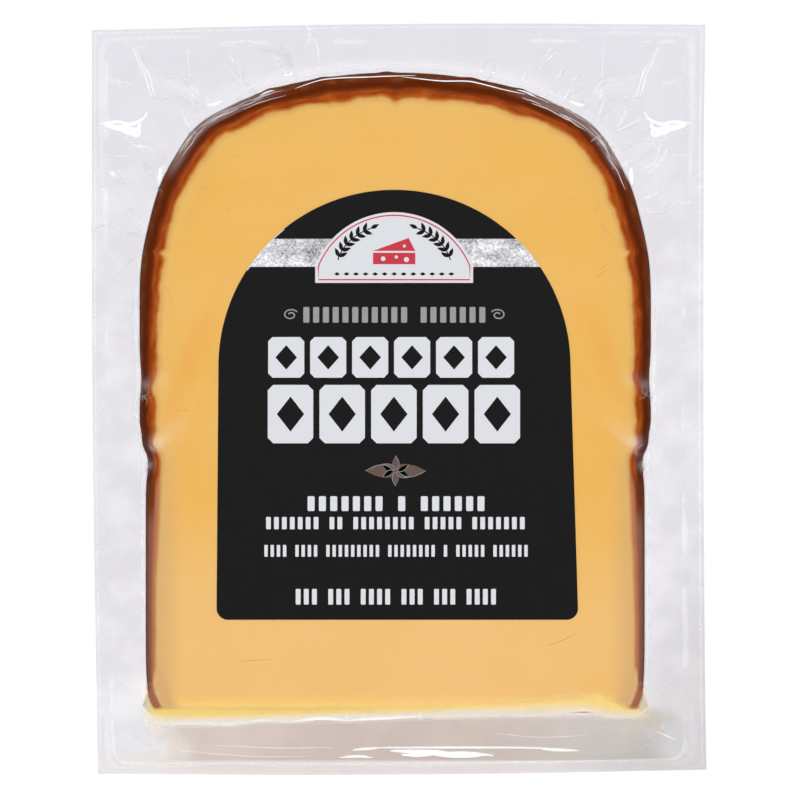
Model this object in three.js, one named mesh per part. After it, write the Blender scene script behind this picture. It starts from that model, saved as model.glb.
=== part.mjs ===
// A vacuum pack of smoked gouda, lying on its back with the label up.
//
// A slab of cheese with an arched top and a straight cut base lies in clear film. The formed front
// film clings to the slab, runs out into a web round its foot, and is sealed to a flat backing film
// in a flange with a narrow pressed band along its edge. Film and cheese touch all over, so the
// sealed pack is one closed solid, and the paper label lies on its front.
//
// Millimetres. +Z is up, +Y points to the arched top of the slab, and the origin lies under the
// middle of the pack, on the surface that it rests on.

import * as THREE from "three";

// ---- The slab of cheese -------------------------------------------------------------------------

const SLAB_WIDTH = 122; // across the widest line of the arch
const SLAB_HEIGHT = 152.5; // from the cut base to the top of the arch
const SLAB_THICKNESS = 31;
const ARCH_RISE = 54.3; // from the widest line to the top
const ARCH_ROUNDNESS = 2.5; // exponent of the superellipse over the widest line: 2 is an ellipse
const BASE_SQUARENESS = 20; // the same under it, where the slab is nearly a rectangle
const SLAB_X = -0.9; // the slab lies a little to the left in its pack
const WIDEST_Y = 23.6;
const WAIST_DEPTH = 1.5; // the sides step in by this much below the middle of the slab
const WAIST_Y = [-4, -16]; // where the step begins and ends
const DENT_HALF_HEIGHT = 4.5;
const DENTS = [
  // shallow dents that the film has drawn into both sides of the rind
  { y: 5, depth: 0.4 },
  { y: -15, depth: 0.5 },
];

// The front edge is rounded: the flat face ends this far in from the widest outline.
const FACE_INSET_ARCH = 5.6;
const FACE_INSET_LOWER_SIDES = 3.3;
const FACE_INSET_BASE = 2.2;
const EDGE_DROP_RIND = 9; // height of the rounding along the rind
const EDGE_DROP_BASE = 4.5; // and along the cut base, which is sharper

// ---- The film -----------------------------------------------------------------------------------

// How far the film's web spreads between the slab's widest outline and the flange.
const WEB_SIDE = 1.5;
const WEB_TOP = 3.5;
const WEB_BASE = 11;
const WEB_STEEP = 7; // exponent of the web's profile: high is a steep wall with a tight foot
const WEB_SLOPING = 1.3; // and low is an even slope

const FLANGE_THICKNESS = 0.8; // both films, between the slab and the sealed band
const SEAL_THICKNESS = 0.6; // both films, pressed together along the edge
const PACK = { left: -74, right: 74, bottom: -90, top: 90 };
// The cut edges aren't true: how far each corner lies off, and how far each edge bows outwards.
const CORNER_SHIFT = {
  bottomLeft: [1.2, -0.6],
  bottomRight: [0.4, 0.4],
  topLeft: [-0.3, -0.7],
  topRight: [0.1, 0.6],
};
const EDGE_BOW = { left: 0.7, right: -0.5, bottom: 0.8, top: 1.0 };
const POCKET = { left: -70.0, right: 68.6, bottom: -87.3, top: 85.3 }; // inner edge of the sealed band
const POCKET_CORNER = 3;
const CORNER_LIFT = 2.6; // the free corners of the flange curl up
const CORNER_LIFT_START = 0.72; // share of the half length and half width where the curl begins

// Folds that run from the shoulders of the arch to the corners, on the left; the right mirrors them.
const FOLD_HEIGHT = 1.3;
const FOLD_HALF_WIDTH = 1.9;
const FOLDS = [
  { from: [-37, 73], to: [-52, 86] },
  { from: [-44, 68], to: [-66, 83] },
  { from: [-50, 62], to: [-69, 70] },
  { from: [-55, 53], to: [-70, 55] },
];

// ---- The label ----------------------------------------------------------------------------------

const LABEL_ARCH_RADIUS = 41.6;
const LABEL_ARCH_CENTRE = [-1.06, 7.9];
const LABEL_HEIGHT = 101.6;
const LABEL_FOOT_WIDTH = 85.4; // the sides flare slightly towards the foot
const LABEL_FOOT_SHIFT = 0.66; // and the foot lies a little to the right of the arch
const LABEL_CORNER_RADIUS = 2.7;
const LABEL_THICKNESS = 0.4;
const LABEL_GAP = 0.3; // room for the adhesive between the label and the film

// ---- Resolution ---------------------------------------------------------------------------------

const STATIONS_ON_SIDE = { right: 60, top: 54, left: 60, base: 40 };
const TURN_WEIGHT = 9; // millimetres of outline that one radian of turn counts for when spacing
const OUTLINE_SAMPLES = 3600;
const NORMAL_STEP_DEG = 0.8;
const FACE_RINGS = [0.55];
const EDGE_STEPS = 4;
const WALL_STEPS = [0.3, 0.6, 0.8, 0.92, 1];
const FLANGE_STEPS = [0.22, 0.45, 0.72, 1];
const LABEL_CURVE_SEGMENTS = 20;

const { lerp, smoothstep, degToRad } = THREE.MathUtils;
const slabCentre = new THREE.Vector2(SLAB_X, WIDEST_Y);
const baseDrop = SLAB_HEIGHT - ARCH_RISE;

/** How far the side of the slab lies in from the plain superellipse, at the height y. */
function sideInset(y) {
  const waist = WAIST_DEPTH * (1 - smoothstep(y, WAIST_Y[1], WAIST_Y[0]));
  const dents = DENTS.map((dent) => dent.depth * Math.exp(-(((y - dent.y) / DENT_HALF_HEIGHT) ** 2)));
  return dents.reduce((sum, depth) => sum + depth, waist);
}

/** Point of the slab's widest outline in the direction of an angle about the slab's centre. */
function slabOutline(angle) {
  const above = Math.sin(angle) >= 0;
  const exponent = above ? ARCH_ROUNDNESS : BASE_SQUARENESS;
  const reachX = SLAB_WIDTH / 2;
  const reachY = above ? ARCH_RISE : baseDrop;
  const spanX = Math.abs(Math.cos(angle) / reachX) ** exponent;
  const spanY = Math.abs(Math.sin(angle) / reachY) ** exponent;
  const radius = (spanX + spanY) ** (-1 / exponent);
  const point = new THREE.Vector2(Math.cos(angle), Math.sin(angle)).multiplyScalar(radius);
  point.x *= 1 - sideInset(point.y + WIDEST_Y) / reachX;
  return point.add(slabCentre);
}

function outwardNormal(angle) {
  const step = degToRad(NORMAL_STEP_DEG);
  const along = slabOutline(angle + step).sub(slabOutline(angle - step));
  return new THREE.Vector2(along.y, -along.x).normalize();
}

/** Angles between two directions, close together where the slab's outline is long or turns. */
function spreadAngles(from, to, count) {
  const samples = [];
  let measure = 0;
  for (let i = 0; i <= OUTLINE_SAMPLES; i += 1) {
    const angle = lerp(from, to, i / OUTLINE_SAMPLES);
    const point = slabOutline(angle);
    const normal = outwardNormal(angle);
    const last = samples.at(-1);
    if (last) measure += point.distanceTo(last.point) + TURN_WEIGHT * normal.distanceTo(last.normal);
    samples.push({ angle, point, normal, measure });
  }
  const angles = [];
  for (let i = 0; i < count; i += 1) {
    const goal = (measure * i) / count;
    angles.push(samples.find((sample) => sample.measure >= goal).angle);
  }
  return angles;
}

/** Where a ray from the slab's centre leaves a rectangle whose corners are rounded. */
function rayToRectangle(angle, box, cornerRadius) {
  const ray = new THREE.Vector2(Math.cos(angle), Math.sin(angle));
  const toSide = ((ray.x > 0 ? box.right : box.left) - slabCentre.x) / ray.x;
  const toEnd = ((ray.y > 0 ? box.top : box.bottom) - slabCentre.y) / ray.y;
  const point = ray.multiplyScalar(Math.min(Math.abs(toSide), Math.abs(toEnd))).add(slabCentre);
  const corner = new THREE.Vector2(
    THREE.MathUtils.clamp(point.x, box.left + cornerRadius, box.right - cornerRadius),
    THREE.MathUtils.clamp(point.y, box.bottom + cornerRadius, box.top - cornerRadius),
  );
  const out = point.clone().sub(corner);
  return cornerRadius > 0 && out.x * out.y !== 0 ? corner.add(out.setLength(cornerRadius)) : point;
}

/** Moves a point of the true rectangle onto the pack's slightly uneven outline. */
function uneven(point) {
  const u = (point.x - PACK.left) / (PACK.right - PACK.left);
  const v = (point.y - PACK.bottom) / (PACK.top - PACK.bottom);
  const cornerShift = [0, 1].map((axis) => {
    const bottom = lerp(CORNER_SHIFT.bottomLeft[axis], CORNER_SHIFT.bottomRight[axis], u);
    const top = lerp(CORNER_SHIFT.topLeft[axis], CORNER_SHIFT.topRight[axis], u);
    return lerp(bottom, top, v);
  });
  const bowX = lerp(-EDGE_BOW.left, EDGE_BOW.right, u) * 4 * v * (1 - v);
  const bowY = lerp(-EDGE_BOW.bottom, EDGE_BOW.top, v) * 4 * u * (1 - u);
  return new THREE.Vector2(point.x + cornerShift[0] + bowX, point.y + cornerShift[1] + bowY);
}

/** The directions of the pack's corners, anticlockwise from the bottom right. */
function cornerAngles() {
  const corners = [
    [PACK.right, PACK.bottom],
    [PACK.right, PACK.top],
    [PACK.left, PACK.top],
    [PACK.left, PACK.bottom],
  ];
  const angles = corners.map(([x, y]) => Math.atan2(y - slabCentre.y, x - slabCentre.x));
  return angles.map((angle, i) => (i === 3 ? angle + 2 * Math.PI : angle));
}

/** Everything that the rings need to know about one direction round the slab. */
function station(angle) {
  const outline = slabOutline(angle);
  const normal = outwardNormal(angle);
  const top = Math.max(normal.y, 0) ** 2;
  const base = Math.max(-normal.y, 0) ** 2;
  const lowerSide = 1 - smoothstep(outline.y, WAIST_Y[1], WAIST_Y[0]);
  const sideFaceInset = lerp(FACE_INSET_ARCH, FACE_INSET_LOWER_SIDES, lowerSide);
  return {
    outline,
    normal,
    faceInset: lerp(sideFaceInset, FACE_INSET_BASE, base),
    edgeDrop: lerp(EDGE_DROP_RIND, EDGE_DROP_BASE, base),
    webRun: WEB_SIDE + (WEB_TOP - WEB_SIDE) * top + (WEB_BASE - WEB_SIDE) * base,
    webShape: lerp(WEB_STEEP, WEB_SLOPING, base),
    pocket: uneven(rayToRectangle(angle, POCKET, POCKET_CORNER)),
    edge: uneven(rayToRectangle(angle, PACK, 0)),
  };
}

function allStations() {
  const [bottomRight, topRight, topLeft, bottomLeft] = cornerAngles();
  const angles = [
    ...spreadAngles(bottomRight, topRight, STATIONS_ON_SIDE.right),
    ...spreadAngles(topRight, topLeft, STATIONS_ON_SIDE.top),
    ...spreadAngles(topLeft, bottomLeft, STATIONS_ON_SIDE.left),
    ...spreadAngles(bottomLeft, bottomRight + 2 * Math.PI, STATIONS_ON_SIDE.base),
  ];
  return angles.map(station);
}

/** The curl of the flange's corners: how high its underside lies at a point. */
function cornerLift(point) {
  const alongX = Math.abs(point.x) / PACK.right;
  const alongY = Math.abs(point.y) / PACK.top;
  const start = CORNER_LIFT_START;
  return CORNER_LIFT * smoothstep(alongX, start, 1.1) * smoothstep(alongY, start, 1.1);
}

/** Height of the folds at a point of the flange. */
function foldHeight(point) {
  const mirrored = new THREE.Vector2(-Math.abs(point.x - SLAB_X), point.y);
  const heights = FOLDS.map((fold) => {
    const from = new THREE.Vector2(...fold.from);
    const run = new THREE.Vector2(...fold.to).sub(from);
    const toPoint = mirrored.clone().sub(from);
    const along = toPoint.dot(run) / run.lengthSq();
    const aside = Math.abs(toPoint.cross(run)) / run.length();
    const fade = Math.sin(Math.PI * THREE.MathUtils.clamp(along, 0, 1));
    return FOLD_HEIGHT * fade * Math.exp(-((aside / FOLD_HALF_WIDTH) ** 2));
  });
  return Math.max(...heights);
}

const at = (point, z) => new THREE.Vector3(point.x, point.y, z);
const offset = (place, distance) => place.outline.clone().addScaledVector(place.normal, distance);

/** The rings of the pack's upper side, from near its middle out to the edge of the flange. */
function upperRings(stations) {
  const faceEdge = (place) => offset(place, -place.faceInset);
  const rings = FACE_RINGS.map((share) =>
    stations.map((place) => at(slabCentre.clone().lerp(faceEdge(place), share), SLAB_THICKNESS)),
  );
  for (let step = 0; step <= EDGE_STEPS; step += 1) {
    const turn = (Math.PI / 2) * (step / EDGE_STEPS);
    const edge = (place) => offset(place, -place.faceInset * (1 - Math.sin(turn)));
    const height = (place) => SLAB_THICKNESS - place.edgeDrop * (1 - Math.cos(turn));
    rings.push(stations.map((place) => at(edge(place), height(place))));
  }
  for (const share of WALL_STEPS) {
    const height = (place) => lerp(SLAB_THICKNESS - place.edgeDrop, FLANGE_THICKNESS, share);
    const spread = (place) => place.webRun * share ** place.webShape;
    rings.push(stations.map((place) => at(offset(place, spread(place)), height(place))));
  }
  for (const share of FLANGE_STEPS) {
    rings.push(
      stations.map((place) => {
        const point = offset(place, place.webRun).lerp(place.pocket, share);
        return at(point, FLANGE_THICKNESS + cornerLift(point) + foldHeight(point));
      }),
    );
  }
  rings.push(stations.map((place) => at(place.edge, SEAL_THICKNESS + cornerLift(place.edge))));
  return rings;
}

/** The rings of the flat back, from the edge of the flange in to the foot of the slab. */
function lowerRings(stations) {
  return [
    stations.map((place) => at(place.edge, cornerLift(place.edge))),
    stations.map((place) => at(place.pocket, cornerLift(place.pocket))),
    stations.map((place) => at(offset(place, place.webRun).lerp(place.pocket, 0.5), 0)),
    stations.map((place) => at(offset(place, 0), 0)),
  ];
}

/** Skins a stack of rings into a closed surface, with a fan over the first and the last. */
function skinRings(rings, firstCentre, lastCentre) {
  const count = rings[0].length;
  const points = [firstCentre, ...rings.flat(), lastCentre];
  const lastIndex = points.length - 1;
  const vertex = (ring, i) => 1 + ring * count + (i % count);
  const faces = [];
  for (let i = 0; i < count; i += 1) {
    faces.push(0, vertex(0, i), vertex(0, i + 1));
    for (let ring = 0; ring + 1 < rings.length; ring += 1) {
      const [a, b] = [vertex(ring, i), vertex(ring, i + 1)];
      const [c, d] = [vertex(ring + 1, i), vertex(ring + 1, i + 1)];
      faces.push(a, c, b, b, c, d);
    }
    faces.push(vertex(rings.length - 1, i), lastIndex, vertex(rings.length - 1, i + 1));
  }
  const geometry = new THREE.BufferGeometry().setFromPoints(points);
  geometry.setIndex(faces);
  geometry.computeVertexNormals();
  return geometry;
}

function vacuumPack() {
  const stations = allStations();
  const rings = [...upperRings(stations), ...lowerRings(stations)];
  const geometry = skinRings(rings, at(slabCentre, SLAB_THICKNESS), at(slabCentre, 0));
  const material = new THREE.MeshStandardMaterial({ color: 0xeeb961, roughness: 0.25, metalness: 0 });
  const mesh = new THREE.Mesh(geometry, material);
  mesh.name = "vacuum_pack";
  return mesh;
}

/** The label's outline about the centre of its arch. */
function labelShape() {
  const footY = LABEL_ARCH_RADIUS - LABEL_HEIGHT;
  const left = LABEL_FOOT_SHIFT - LABEL_FOOT_WIDTH / 2;
  const right = LABEL_FOOT_SHIFT + LABEL_FOOT_WIDTH / 2;
  const radius = LABEL_CORNER_RADIUS;
  const shape = new THREE.Shape();
  shape.absarc(0, 0, LABEL_ARCH_RADIUS, 0, Math.PI);
  shape.absarc(left + radius, footY + radius, radius, Math.PI, 1.5 * Math.PI);
  shape.absarc(right - radius, footY + radius, radius, 1.5 * Math.PI, 2 * Math.PI);
  shape.closePath();
  return shape;
}

function label() {
  const geometry = new THREE.ExtrudeGeometry(labelShape(), {
    depth: LABEL_THICKNESS,
    bevelEnabled: false,
    curveSegments: LABEL_CURVE_SEGMENTS,
  });
  const material = new THREE.MeshStandardMaterial({ color: 0x211f20, roughness: 0.45, metalness: 0 });
  const mesh = new THREE.Mesh(geometry, material);
  mesh.name = "label";
  mesh.position.set(...LABEL_ARCH_CENTRE, SLAB_THICKNESS + LABEL_GAP);
  return mesh;
}

const smokedGouda = new THREE.Group();
smokedGouda.add(vacuumPack(), label());

export default smokedGouda;
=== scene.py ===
"""A vacuum pack of smoked gouda: the slab of cheese with its rind, the clear film and the printed label.

The solids give the sizes. Here the sealed pack becomes what it is made of: a slab of cheese, a closed
skin of clear film with its creases, and a printed label. Everything is worked out in millimetres and
turned into metres when a mesh is made. +Z is up, +Y points to the arched top of the slab.
"""

import math
from types import SimpleNamespace

import bpy
import numpy as np
from mathutils.bvhtree import BVHTree
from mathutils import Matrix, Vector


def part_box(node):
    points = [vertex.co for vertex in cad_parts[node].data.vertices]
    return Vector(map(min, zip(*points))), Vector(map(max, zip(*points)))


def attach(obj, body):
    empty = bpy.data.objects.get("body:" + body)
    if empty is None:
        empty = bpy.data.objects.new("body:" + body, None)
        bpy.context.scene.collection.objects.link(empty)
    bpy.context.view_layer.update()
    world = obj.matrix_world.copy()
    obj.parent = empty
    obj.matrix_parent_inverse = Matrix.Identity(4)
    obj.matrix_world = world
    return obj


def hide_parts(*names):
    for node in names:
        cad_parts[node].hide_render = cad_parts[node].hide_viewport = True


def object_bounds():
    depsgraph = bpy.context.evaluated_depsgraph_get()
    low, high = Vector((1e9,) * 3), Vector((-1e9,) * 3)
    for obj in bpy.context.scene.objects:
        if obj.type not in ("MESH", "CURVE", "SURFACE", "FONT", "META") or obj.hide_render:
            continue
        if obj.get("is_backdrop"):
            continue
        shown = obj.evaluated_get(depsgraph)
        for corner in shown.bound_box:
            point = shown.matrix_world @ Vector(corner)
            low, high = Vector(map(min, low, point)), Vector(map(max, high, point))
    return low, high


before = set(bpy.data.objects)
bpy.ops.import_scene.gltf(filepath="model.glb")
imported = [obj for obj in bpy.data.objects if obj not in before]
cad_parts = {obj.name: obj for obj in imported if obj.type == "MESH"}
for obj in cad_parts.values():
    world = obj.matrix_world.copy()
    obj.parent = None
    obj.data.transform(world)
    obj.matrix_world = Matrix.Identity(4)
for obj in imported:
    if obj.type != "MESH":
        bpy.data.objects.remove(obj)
cad_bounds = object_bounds()

MM = 0.001

# ---- Sizes of the solids, in millimetres, and of the parts that only the dressed pack has ----

SLAB_WIDTH, SLAB_HEIGHT = 122, 152.5
ARCH_RISE, ARCH_ROUNDNESS = 54.3, 2.5
BASE_SQUARENESS = 27  # a little squarer than the solid's
SLAB_CENTRE = np.array([-0.9, 23.6])
WAIST_DEPTH, WAIST_Y = 1.5, (-4, -16)  # the side draws in between these heights
DENTS = ((5, 0.4), (-15, 0.5))  # height on the side, depth
DENT_HALF_HEIGHT = 4.5
EDGE_DROP_RIND, EDGE_DROP_BASE = 9, 4.5
WEB_SIDE, WEB_TOP, WEB_BASE = 1.5, 3.5, 11
WEB_STEEP, WEB_SLOPING = 7, 1.3
PACK = SimpleNamespace(left=-74, right=74, bottom=-90, top=90)
POCKET = SimpleNamespace(left=-70, right=68.6, bottom=-87.3, top=85.3)
POCKET_CORNER = 3
CORNER_SHIFT = np.array([[[1.2, -0.6], [-0.3, -0.7]], [[0.4, 0.4], [0.1, 0.6]]])  # [right][top]
EDGE_BOW = SimpleNamespace(left=0.7, right=-0.5, bottom=0.8, top=1)
CORNER_LIFT = 2.6
CORNER_LIFT_SHARES = (0.72, 1.1)  # of the way from the middle to the edges, where it begins and ends
LABEL_ARCH_RADIUS, LABEL_ARCH_CENTRE = 41.6, np.array([-1.06, 7.9])
LABEL_HEIGHT, LABEL_FOOT_WIDTH, LABEL_FOOT_SHIFT = 101.6, 85.4, 0.66
LABEL_CORNER_RADIUS = 2.7

FRONT_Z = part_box("vacuum_pack")[1].z / MM  # the front face of the pack
FLANGE_Z = 0.5  # the real films are thinner than the solid's flange
SEAL_Z = 0.38
BACK_FILM_Z = 0.1
FILM_GAP = 0.15  # between the film and the cheese, so that their surfaces stay apart
LABEL_LIFT, LABEL_THICKNESS = 0.04, 0.12
INK = 0.03

# The arch stands out at the shoulders, where the film is gathered, and falls in beside them:
# degrees over the horizontal, spread in degrees, distance outwards.
ARCH_SHIFTS = ((41.5, 6.5, 1), (18, 8, -0.55), (69, 12, -0.4))

# Width of the band of rind that shows round the face, by height on the slab.
RIND_Y = (-75, -45, -30, -10, 0, 15, 30, 45, 60, 70, 78)
RIND_WIDTH = (2.3, 2.4, 3, 3.6, 3.8, 4.2, 5.2, 5.3, 5.9, 6.2, 6.2)
# Notches in the band on both sides (height, extra width, half size) and a blot at the top (by x).
RIND_NOTCHES = ((35.4, -0.8, 0.8), (2.8, -0.9, 1.6), (-11.2, -1.2, 1.8))
RIND_BLOT = (-0.8, 1.3, 1.9)
BASE_FACE_INSET = 2.2
FOOT_SPREAD, FOOT_SPREAD_ROOM = 3.6, 12  # the two back corners at the base have spread outwards

# Where the film is gathered into small puckers along the top of the arch, by x.
TOP_PUCKERS = (-30.9, -18.4, -3, 17.3, 29.3)
TOP_PUCKER_HEIGHT, TOP_PUCKER_HALF_WIDTH = 0.35, 1.6

# ---- Folds, creases and marks, in millimetres ----

MIRROR_X = -0.8  # folds, puckers, side creases, haze and hooks are alike on both sides of this line
# Soft folds of the flange, and small puckers (x, y, radius).
FOLDS = (
    ((-37, 73), (-52, 86)), ((-44, 68), (-66, 83)), ((-50, 62), (-69, 70)), ((-55, 53), (-70, 55)),
)
FOLD_HEIGHT, FOLD_HALF_WIDTH = 0.42, 1.9
PUCKERS = ((-60.5, 0.8, 1.6), (-57.4, -12.1, 1.8), (-60, -16.2, 1.5))
PUCKER_HEIGHT = 0.45
FLANGE_RIPPLES = ((0.1, 22, 3), (0.035, 6, 4))  # height, wavelength, seed

# Sharp creases of the film: points on the way, height, half width, whiteness; the white is a painted
# glint. The side creases are given for the left side, and the single ones lie at the base and along
# the top of the arch.
SIDE_CREASES = [
    ([(-64.3, 85.4), (-61.1, 78.6), (-59.1, 73.1), (-55.3, 73.3)], 0.3, 0.8, 0),
    ([(-59.8, 78.6), (-52, 77.5), (-48.1, 73.8), (-44.6, 71.6)], 0.3, 0.7, 0),
    ([(-54.6, 73.4), (-50, 72), (-46.2, 70.2)], 0.25, 0.5, 0),
    ([(-51.4, 85.4), (-51.1, 81.5), (-50.7, 77.4)], 0.15, 0.4, 0),
    ([(-69.9, 78), (-67.6, 76.8), (-65.3, 76.7)], 0.2, 0.35, 0.3),
    ([(-72.6, 66.8), (-68.2, 67.2), (-65.2, 66.6), (-62.1, 67.9), (-60.9, 69.8)], 0.4, 0.45, 1),
    ([(-71.2, 66.4), (-67.1, 65.6), (-63.6, 65.2), (-62.6, 66.9)], 0.4, 0.75, 1),
    ([(-67.6, 65.2), (-64.8, 64.3), (-63.3, 63.9), (-62.6, 65.2)], 0.4, 0.5, 1),
    ([(-70.8, 59.2), (-65, 59.1)], 0.12, 0.25, 0.2),
    ([(-58.5, 57.5), (-58.2, 58.6), (-57, 58.8), (-56.3, 57.9), (-56.6, 56.5)], 0.2, 0.14, 0),
    ([(-58.9, 55.9), (-57.9, 56.6), (-57.2, 57.6)], 0.2, 0.16, 0),
    ([(-57.9, 56.2), (-57.8, 54.4), (-58.1, 52)], 0.3, 0.5, 1),
    ([
        (-63.7, 34), (-63.7, 15), (-63.3, 5), (-63.7, -3), (-62.8, -10), (-61.8, -15),
        (-62.1, -20), (-62.2, -30), (-62.2, -64),
    ], 0.1, 0.2, 0.25),
    ([(-46.5, 71.3), (-44.6, 71.6), (-42.9, 72.3)], 0.25, 0.35, 1),
    ([(-69.8, -67.1), (-67.6, -69.2), (-64, -70.7)], 0.1, 0.3, 0),
    ([(-66, -78), (-63.5, -82), (-59, -85)], 0.1, 0.35, 0),
]
# The wavy edge where the web leaves the slab's base, above it the lower edge of the clean face, and
# the line where the yellow of the cut edge ends.
BASE_LINE = [
    (-59, -77.8), (-48.2, -77.5), (-40.6, -77.7), (-31.6, -76.6), (-25.3, -77), (-18.9, -76.1),
    (-12.5, -76.6), (5, -75.5), (9.8, -75.7), (29, -75), (36.7, -74.9), (44, -73.5), (48.9, -75.4),
    (58, -76.2),
]
FACE_FOOT = [
    (-60, -72.6), (-20, -72.7), (28.6, -71.6), (40.6, -70.4), (47.4, -69.6), (52.7, -72), (60, -74),
]
YELLOW_FOOT = [
    (-60, -75.6), (-40, -75.4), (-15, -74.2), (5, -73.6), (24, -72.3), (42, -71.2), (50, -72.4),
    (60, -74),
]
SINGLE_CREASES = [
    (BASE_LINE[:5], 0.2, 0.5, 0.6),
    (BASE_LINE[4:7], 0.25, 0.45, 1),
    (BASE_LINE[6:8], 0.25, 0.4, 1),
    (BASE_LINE[7:11], 0.2, 0.35, 0.35),
    (BASE_LINE[10:], 0.15, 0.35, 0.35),
    ([(-12.5, -74.6), (-12.5, -77.4)], 0.2, 0.15, 0.5),
    ([(5, -73.4), (5.1, -77.2)], 0.2, 0.15, 0.45),
    ([(-10.8, -84.7), (-6, -84.3), (5, -84.2), (20, -84.2), (32, -84.3), (42, -84.8)], 0.2, 0.3, 1),
    ([(-11.2, -84.9), (-8.6, -84.6), (-5, -84.4)], 0.2, 0.35, 1),
    ([(34.6, -84.7), (38.6, -85), (43.4, -85)], 0.2, 0.35, 0.9),
    ([(-2.2, -85.1), (4, -85.5), (12, -85.8), (20.6, -86.3)], 0.3, 0.5, 1),
    ([(-1.6, -85), (4, -85.1), (11, -85.2)], 0.2, 0.35, 1),
    ([(0.6, -86.1), (4.2, -86.3), (8, -86.2)], 0.2, 0.3, 1),
    ([(8.2, -86.1), (13.6, -86.5), (19.4, -86.5)], 0.25, 0.35, 1),
    ([(13, -85.4), (18, -85.7), (23, -86.4)], 0.2, 0.28, 1),
    ([(-14.4, -86.8), (-10, -86.6), (-6.4, -86.8)], 0.25, 0.22, 1),
    ([(-13, -86.4), (-10.6, -86.3), (-7.6, -86.4)], 0.2, 0.14, 0.8),
    ([(-44, -83.6), (-30, -84.3), (-16, -84.2)], 0.08, 0.12, 0.7),
    ([(22, -80), (34, -81.4), (46, -80.6)], 0.08, 0.12, 0.5),
    ([(-58, -84.4), (-40, -86.3), (-20, -86.6)], 0.08, 0.12, 0.5),
    ([(62, -80.3), (65, -81.6), (67.2, -82.4)], 0.1, 0.15, 0.6),
    ([(-24.6, 73.6), (-17.4, 75.9), (-6.5, 76.4), (4, 76.8)], 0.15, 0.16, 1),
    ([(0.7, 76.4), (9.6, 75.4), (16.9, 75.3), (24.6, 73.4), (29.8, 72.3)], 0.15, 0.16, 1),
    ([(-33, 72), (-31.2, 72.9), (-29.6, 73.2)], 0.15, 0.2, 1),
    ([(28, 73.4), (30.4, 72.8), (32.6, 71.6)], 0.15, 0.2, 1),
]
RANDOM_SEED = 7
STRAY_CREASES = 34  # small random creases between the shoulders and the corners, on each side
STRAY_CENTRE, STRAY_REACH = (0, 23), (60, 52)  # they begin outside this ellipse
SHOULDER_STREAKS, STREAK_HEIGHT = 16, 0.05  # fine wrinkles along the rind of each shoulder
SHOULDER_TURN = (29, 60)  # degrees over the horizontal, seen from the slab's centre
PUCKER_RAYS, RAY_HEIGHT = 14, 0.08  # fine lines that run out of each pucker

# Hair-fine marks in the face of the cheese: points on the way.
FACE_MARKS = [
    [(-55.8, 27), (-54.6, 25.8), (-53.9, 24.2), (-53.6, 23.2)],
    [(-56.5, 19.9), (-56.9, 18.3), (-56.7, 16.4)],
    [(-53.2, -3.2), (-51.7, -2.5), (-50.3, -2.8), (-49.4, -2.1)],
    [(-39.2, 57.3), (-37.6, 57.2)], [(-47, 50.1), (-45.1, 49.6)],
    [(-40.3, 45.4), (-40.6, 44.6), (-41, 44.2)], [(-36.9, 51), (-35.8, 50.8)],
    [(49.2, 42.6), (47.8, 41), (51, 37.9)], [(47.3, 30.6), (49.4, 31.8)],
    [(46.1, 28.7), (48.9, 30.3)], [(51.3, -0.6), (52.3, -0.7)], [(39.9, 47.6), (41.4, 47.4)],
    [(46, 44.8), (47, 44.4)], [(34.9, -58.2), (38, -57.2), (41.8, -55.4)], [(-38, -62), (-30, -61.4)],
]
# Smears of cheese on the film round the base: x, y, half sizes, strength.
SMEARS = (
    (-58.8, -79, 2.4, 2.8, 0.35), (-56.6, -81.4, 2.6, 1.9, 0.3), (-53.6, -83.2, 3.2, 1.8, 0.42),
    (-58, -86, 6, 3.5, 0.2), (59.4, -76.4, 3.6, 2.6, 0.35), (62.6, -79.4, 2.2, 2, 0.3),
    (55.4, -78.6, 4, 2, 0.2),
)
# Cloudy places where the film has lifted off, given in the same way, on both sides.
HAZE_SPOTS = (
    (-60, 3.4, 1.5, 1.3, 0.35), (-56.4, 4.8, 1.8, 1.7, 0.2), (-57.4, -10.4, 1.6, 1.5, 0.6),
    (-55.4, -9.4, 1.8, 1.2, 0.3), (-59.6, -15.6, 1.6, 1.3, 0.35), (-54, -7.2, 2.4, 1.5, 0.2),
    (-51.4, -5.2, 2, 1.4, 0.1),
)
# How much white is painted on the film: at the shoulders a painted reflection, over the top of the arch
# painted glare.
SHOULDER_SHEEN, WALL_GLARE = 0.32, 0.85
# Whitish folds of the flange's film beside the shoulders, their white a painted highlight: points on the
# way, half width, strength.
SOFT_FOLD_SHEENS = (
    ([(-66.4, 87.5), (-60.9, 78), (-58, 72.6)], 1.6, 0.4),
    ([(-60.4, 78.4), (-54, 76), (-46.4, 72)], 2, 0.7),
    ([(-57.5, 70.5), (-51.5, 68.6), (-48, 66.5)], 1.3, 0.35),
    ([(-66.5, 63.8), (-61.5, 60.5), (-58, 58.5)], 0.9, 0.35),
    ([(-70.6, 76.8), (-66, 75.4)], 0.8, 0.4),
)
# The rind ends in a short hook that runs slantwise over each corner of the base.
HOOK_START, HOOK_END = (58.9, -67.4), (56.4, -73.2)  # distance from the middle line, height
HOOK_LENGTH = math.dist(HOOK_START, HOOK_END)
HOOK_HALF_WIDTH = 1  # at its start, and how much more it is for each millimetre along it
HOOK_SWELL = 0.03
# The painted shade of the web under the base, laid into the film's tint: where it begins and ends, and
# how ragged its ends are.
WEB_TOP_Y, WEB_FOOT_Y, WEB_LEFT, WEB_RIGHT = -75, -87.4, -54, 65
WEB_RAGGED, WEB_RAGGED_SEED = 1.6, 12
# The strip of cream at the base and the cream beside the hook: how thick they lie, and between which
# distances from the middle line, or heights, they end. How yellow the smears and the cream are.
STRIP_CREAM, CORNER_CREAM, HOOK_CREAM = 0.98, 0.75, 0.92
STRIP_END, CORNER_END, CORNER_FOOT_Y = (61, 58), (61.8, 59.4), (-78.5, -75.5)
SMEAR_BUTTER, CORNER_BUTTER = 0.5, 0.3
SMEAR_SEED = 9

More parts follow.
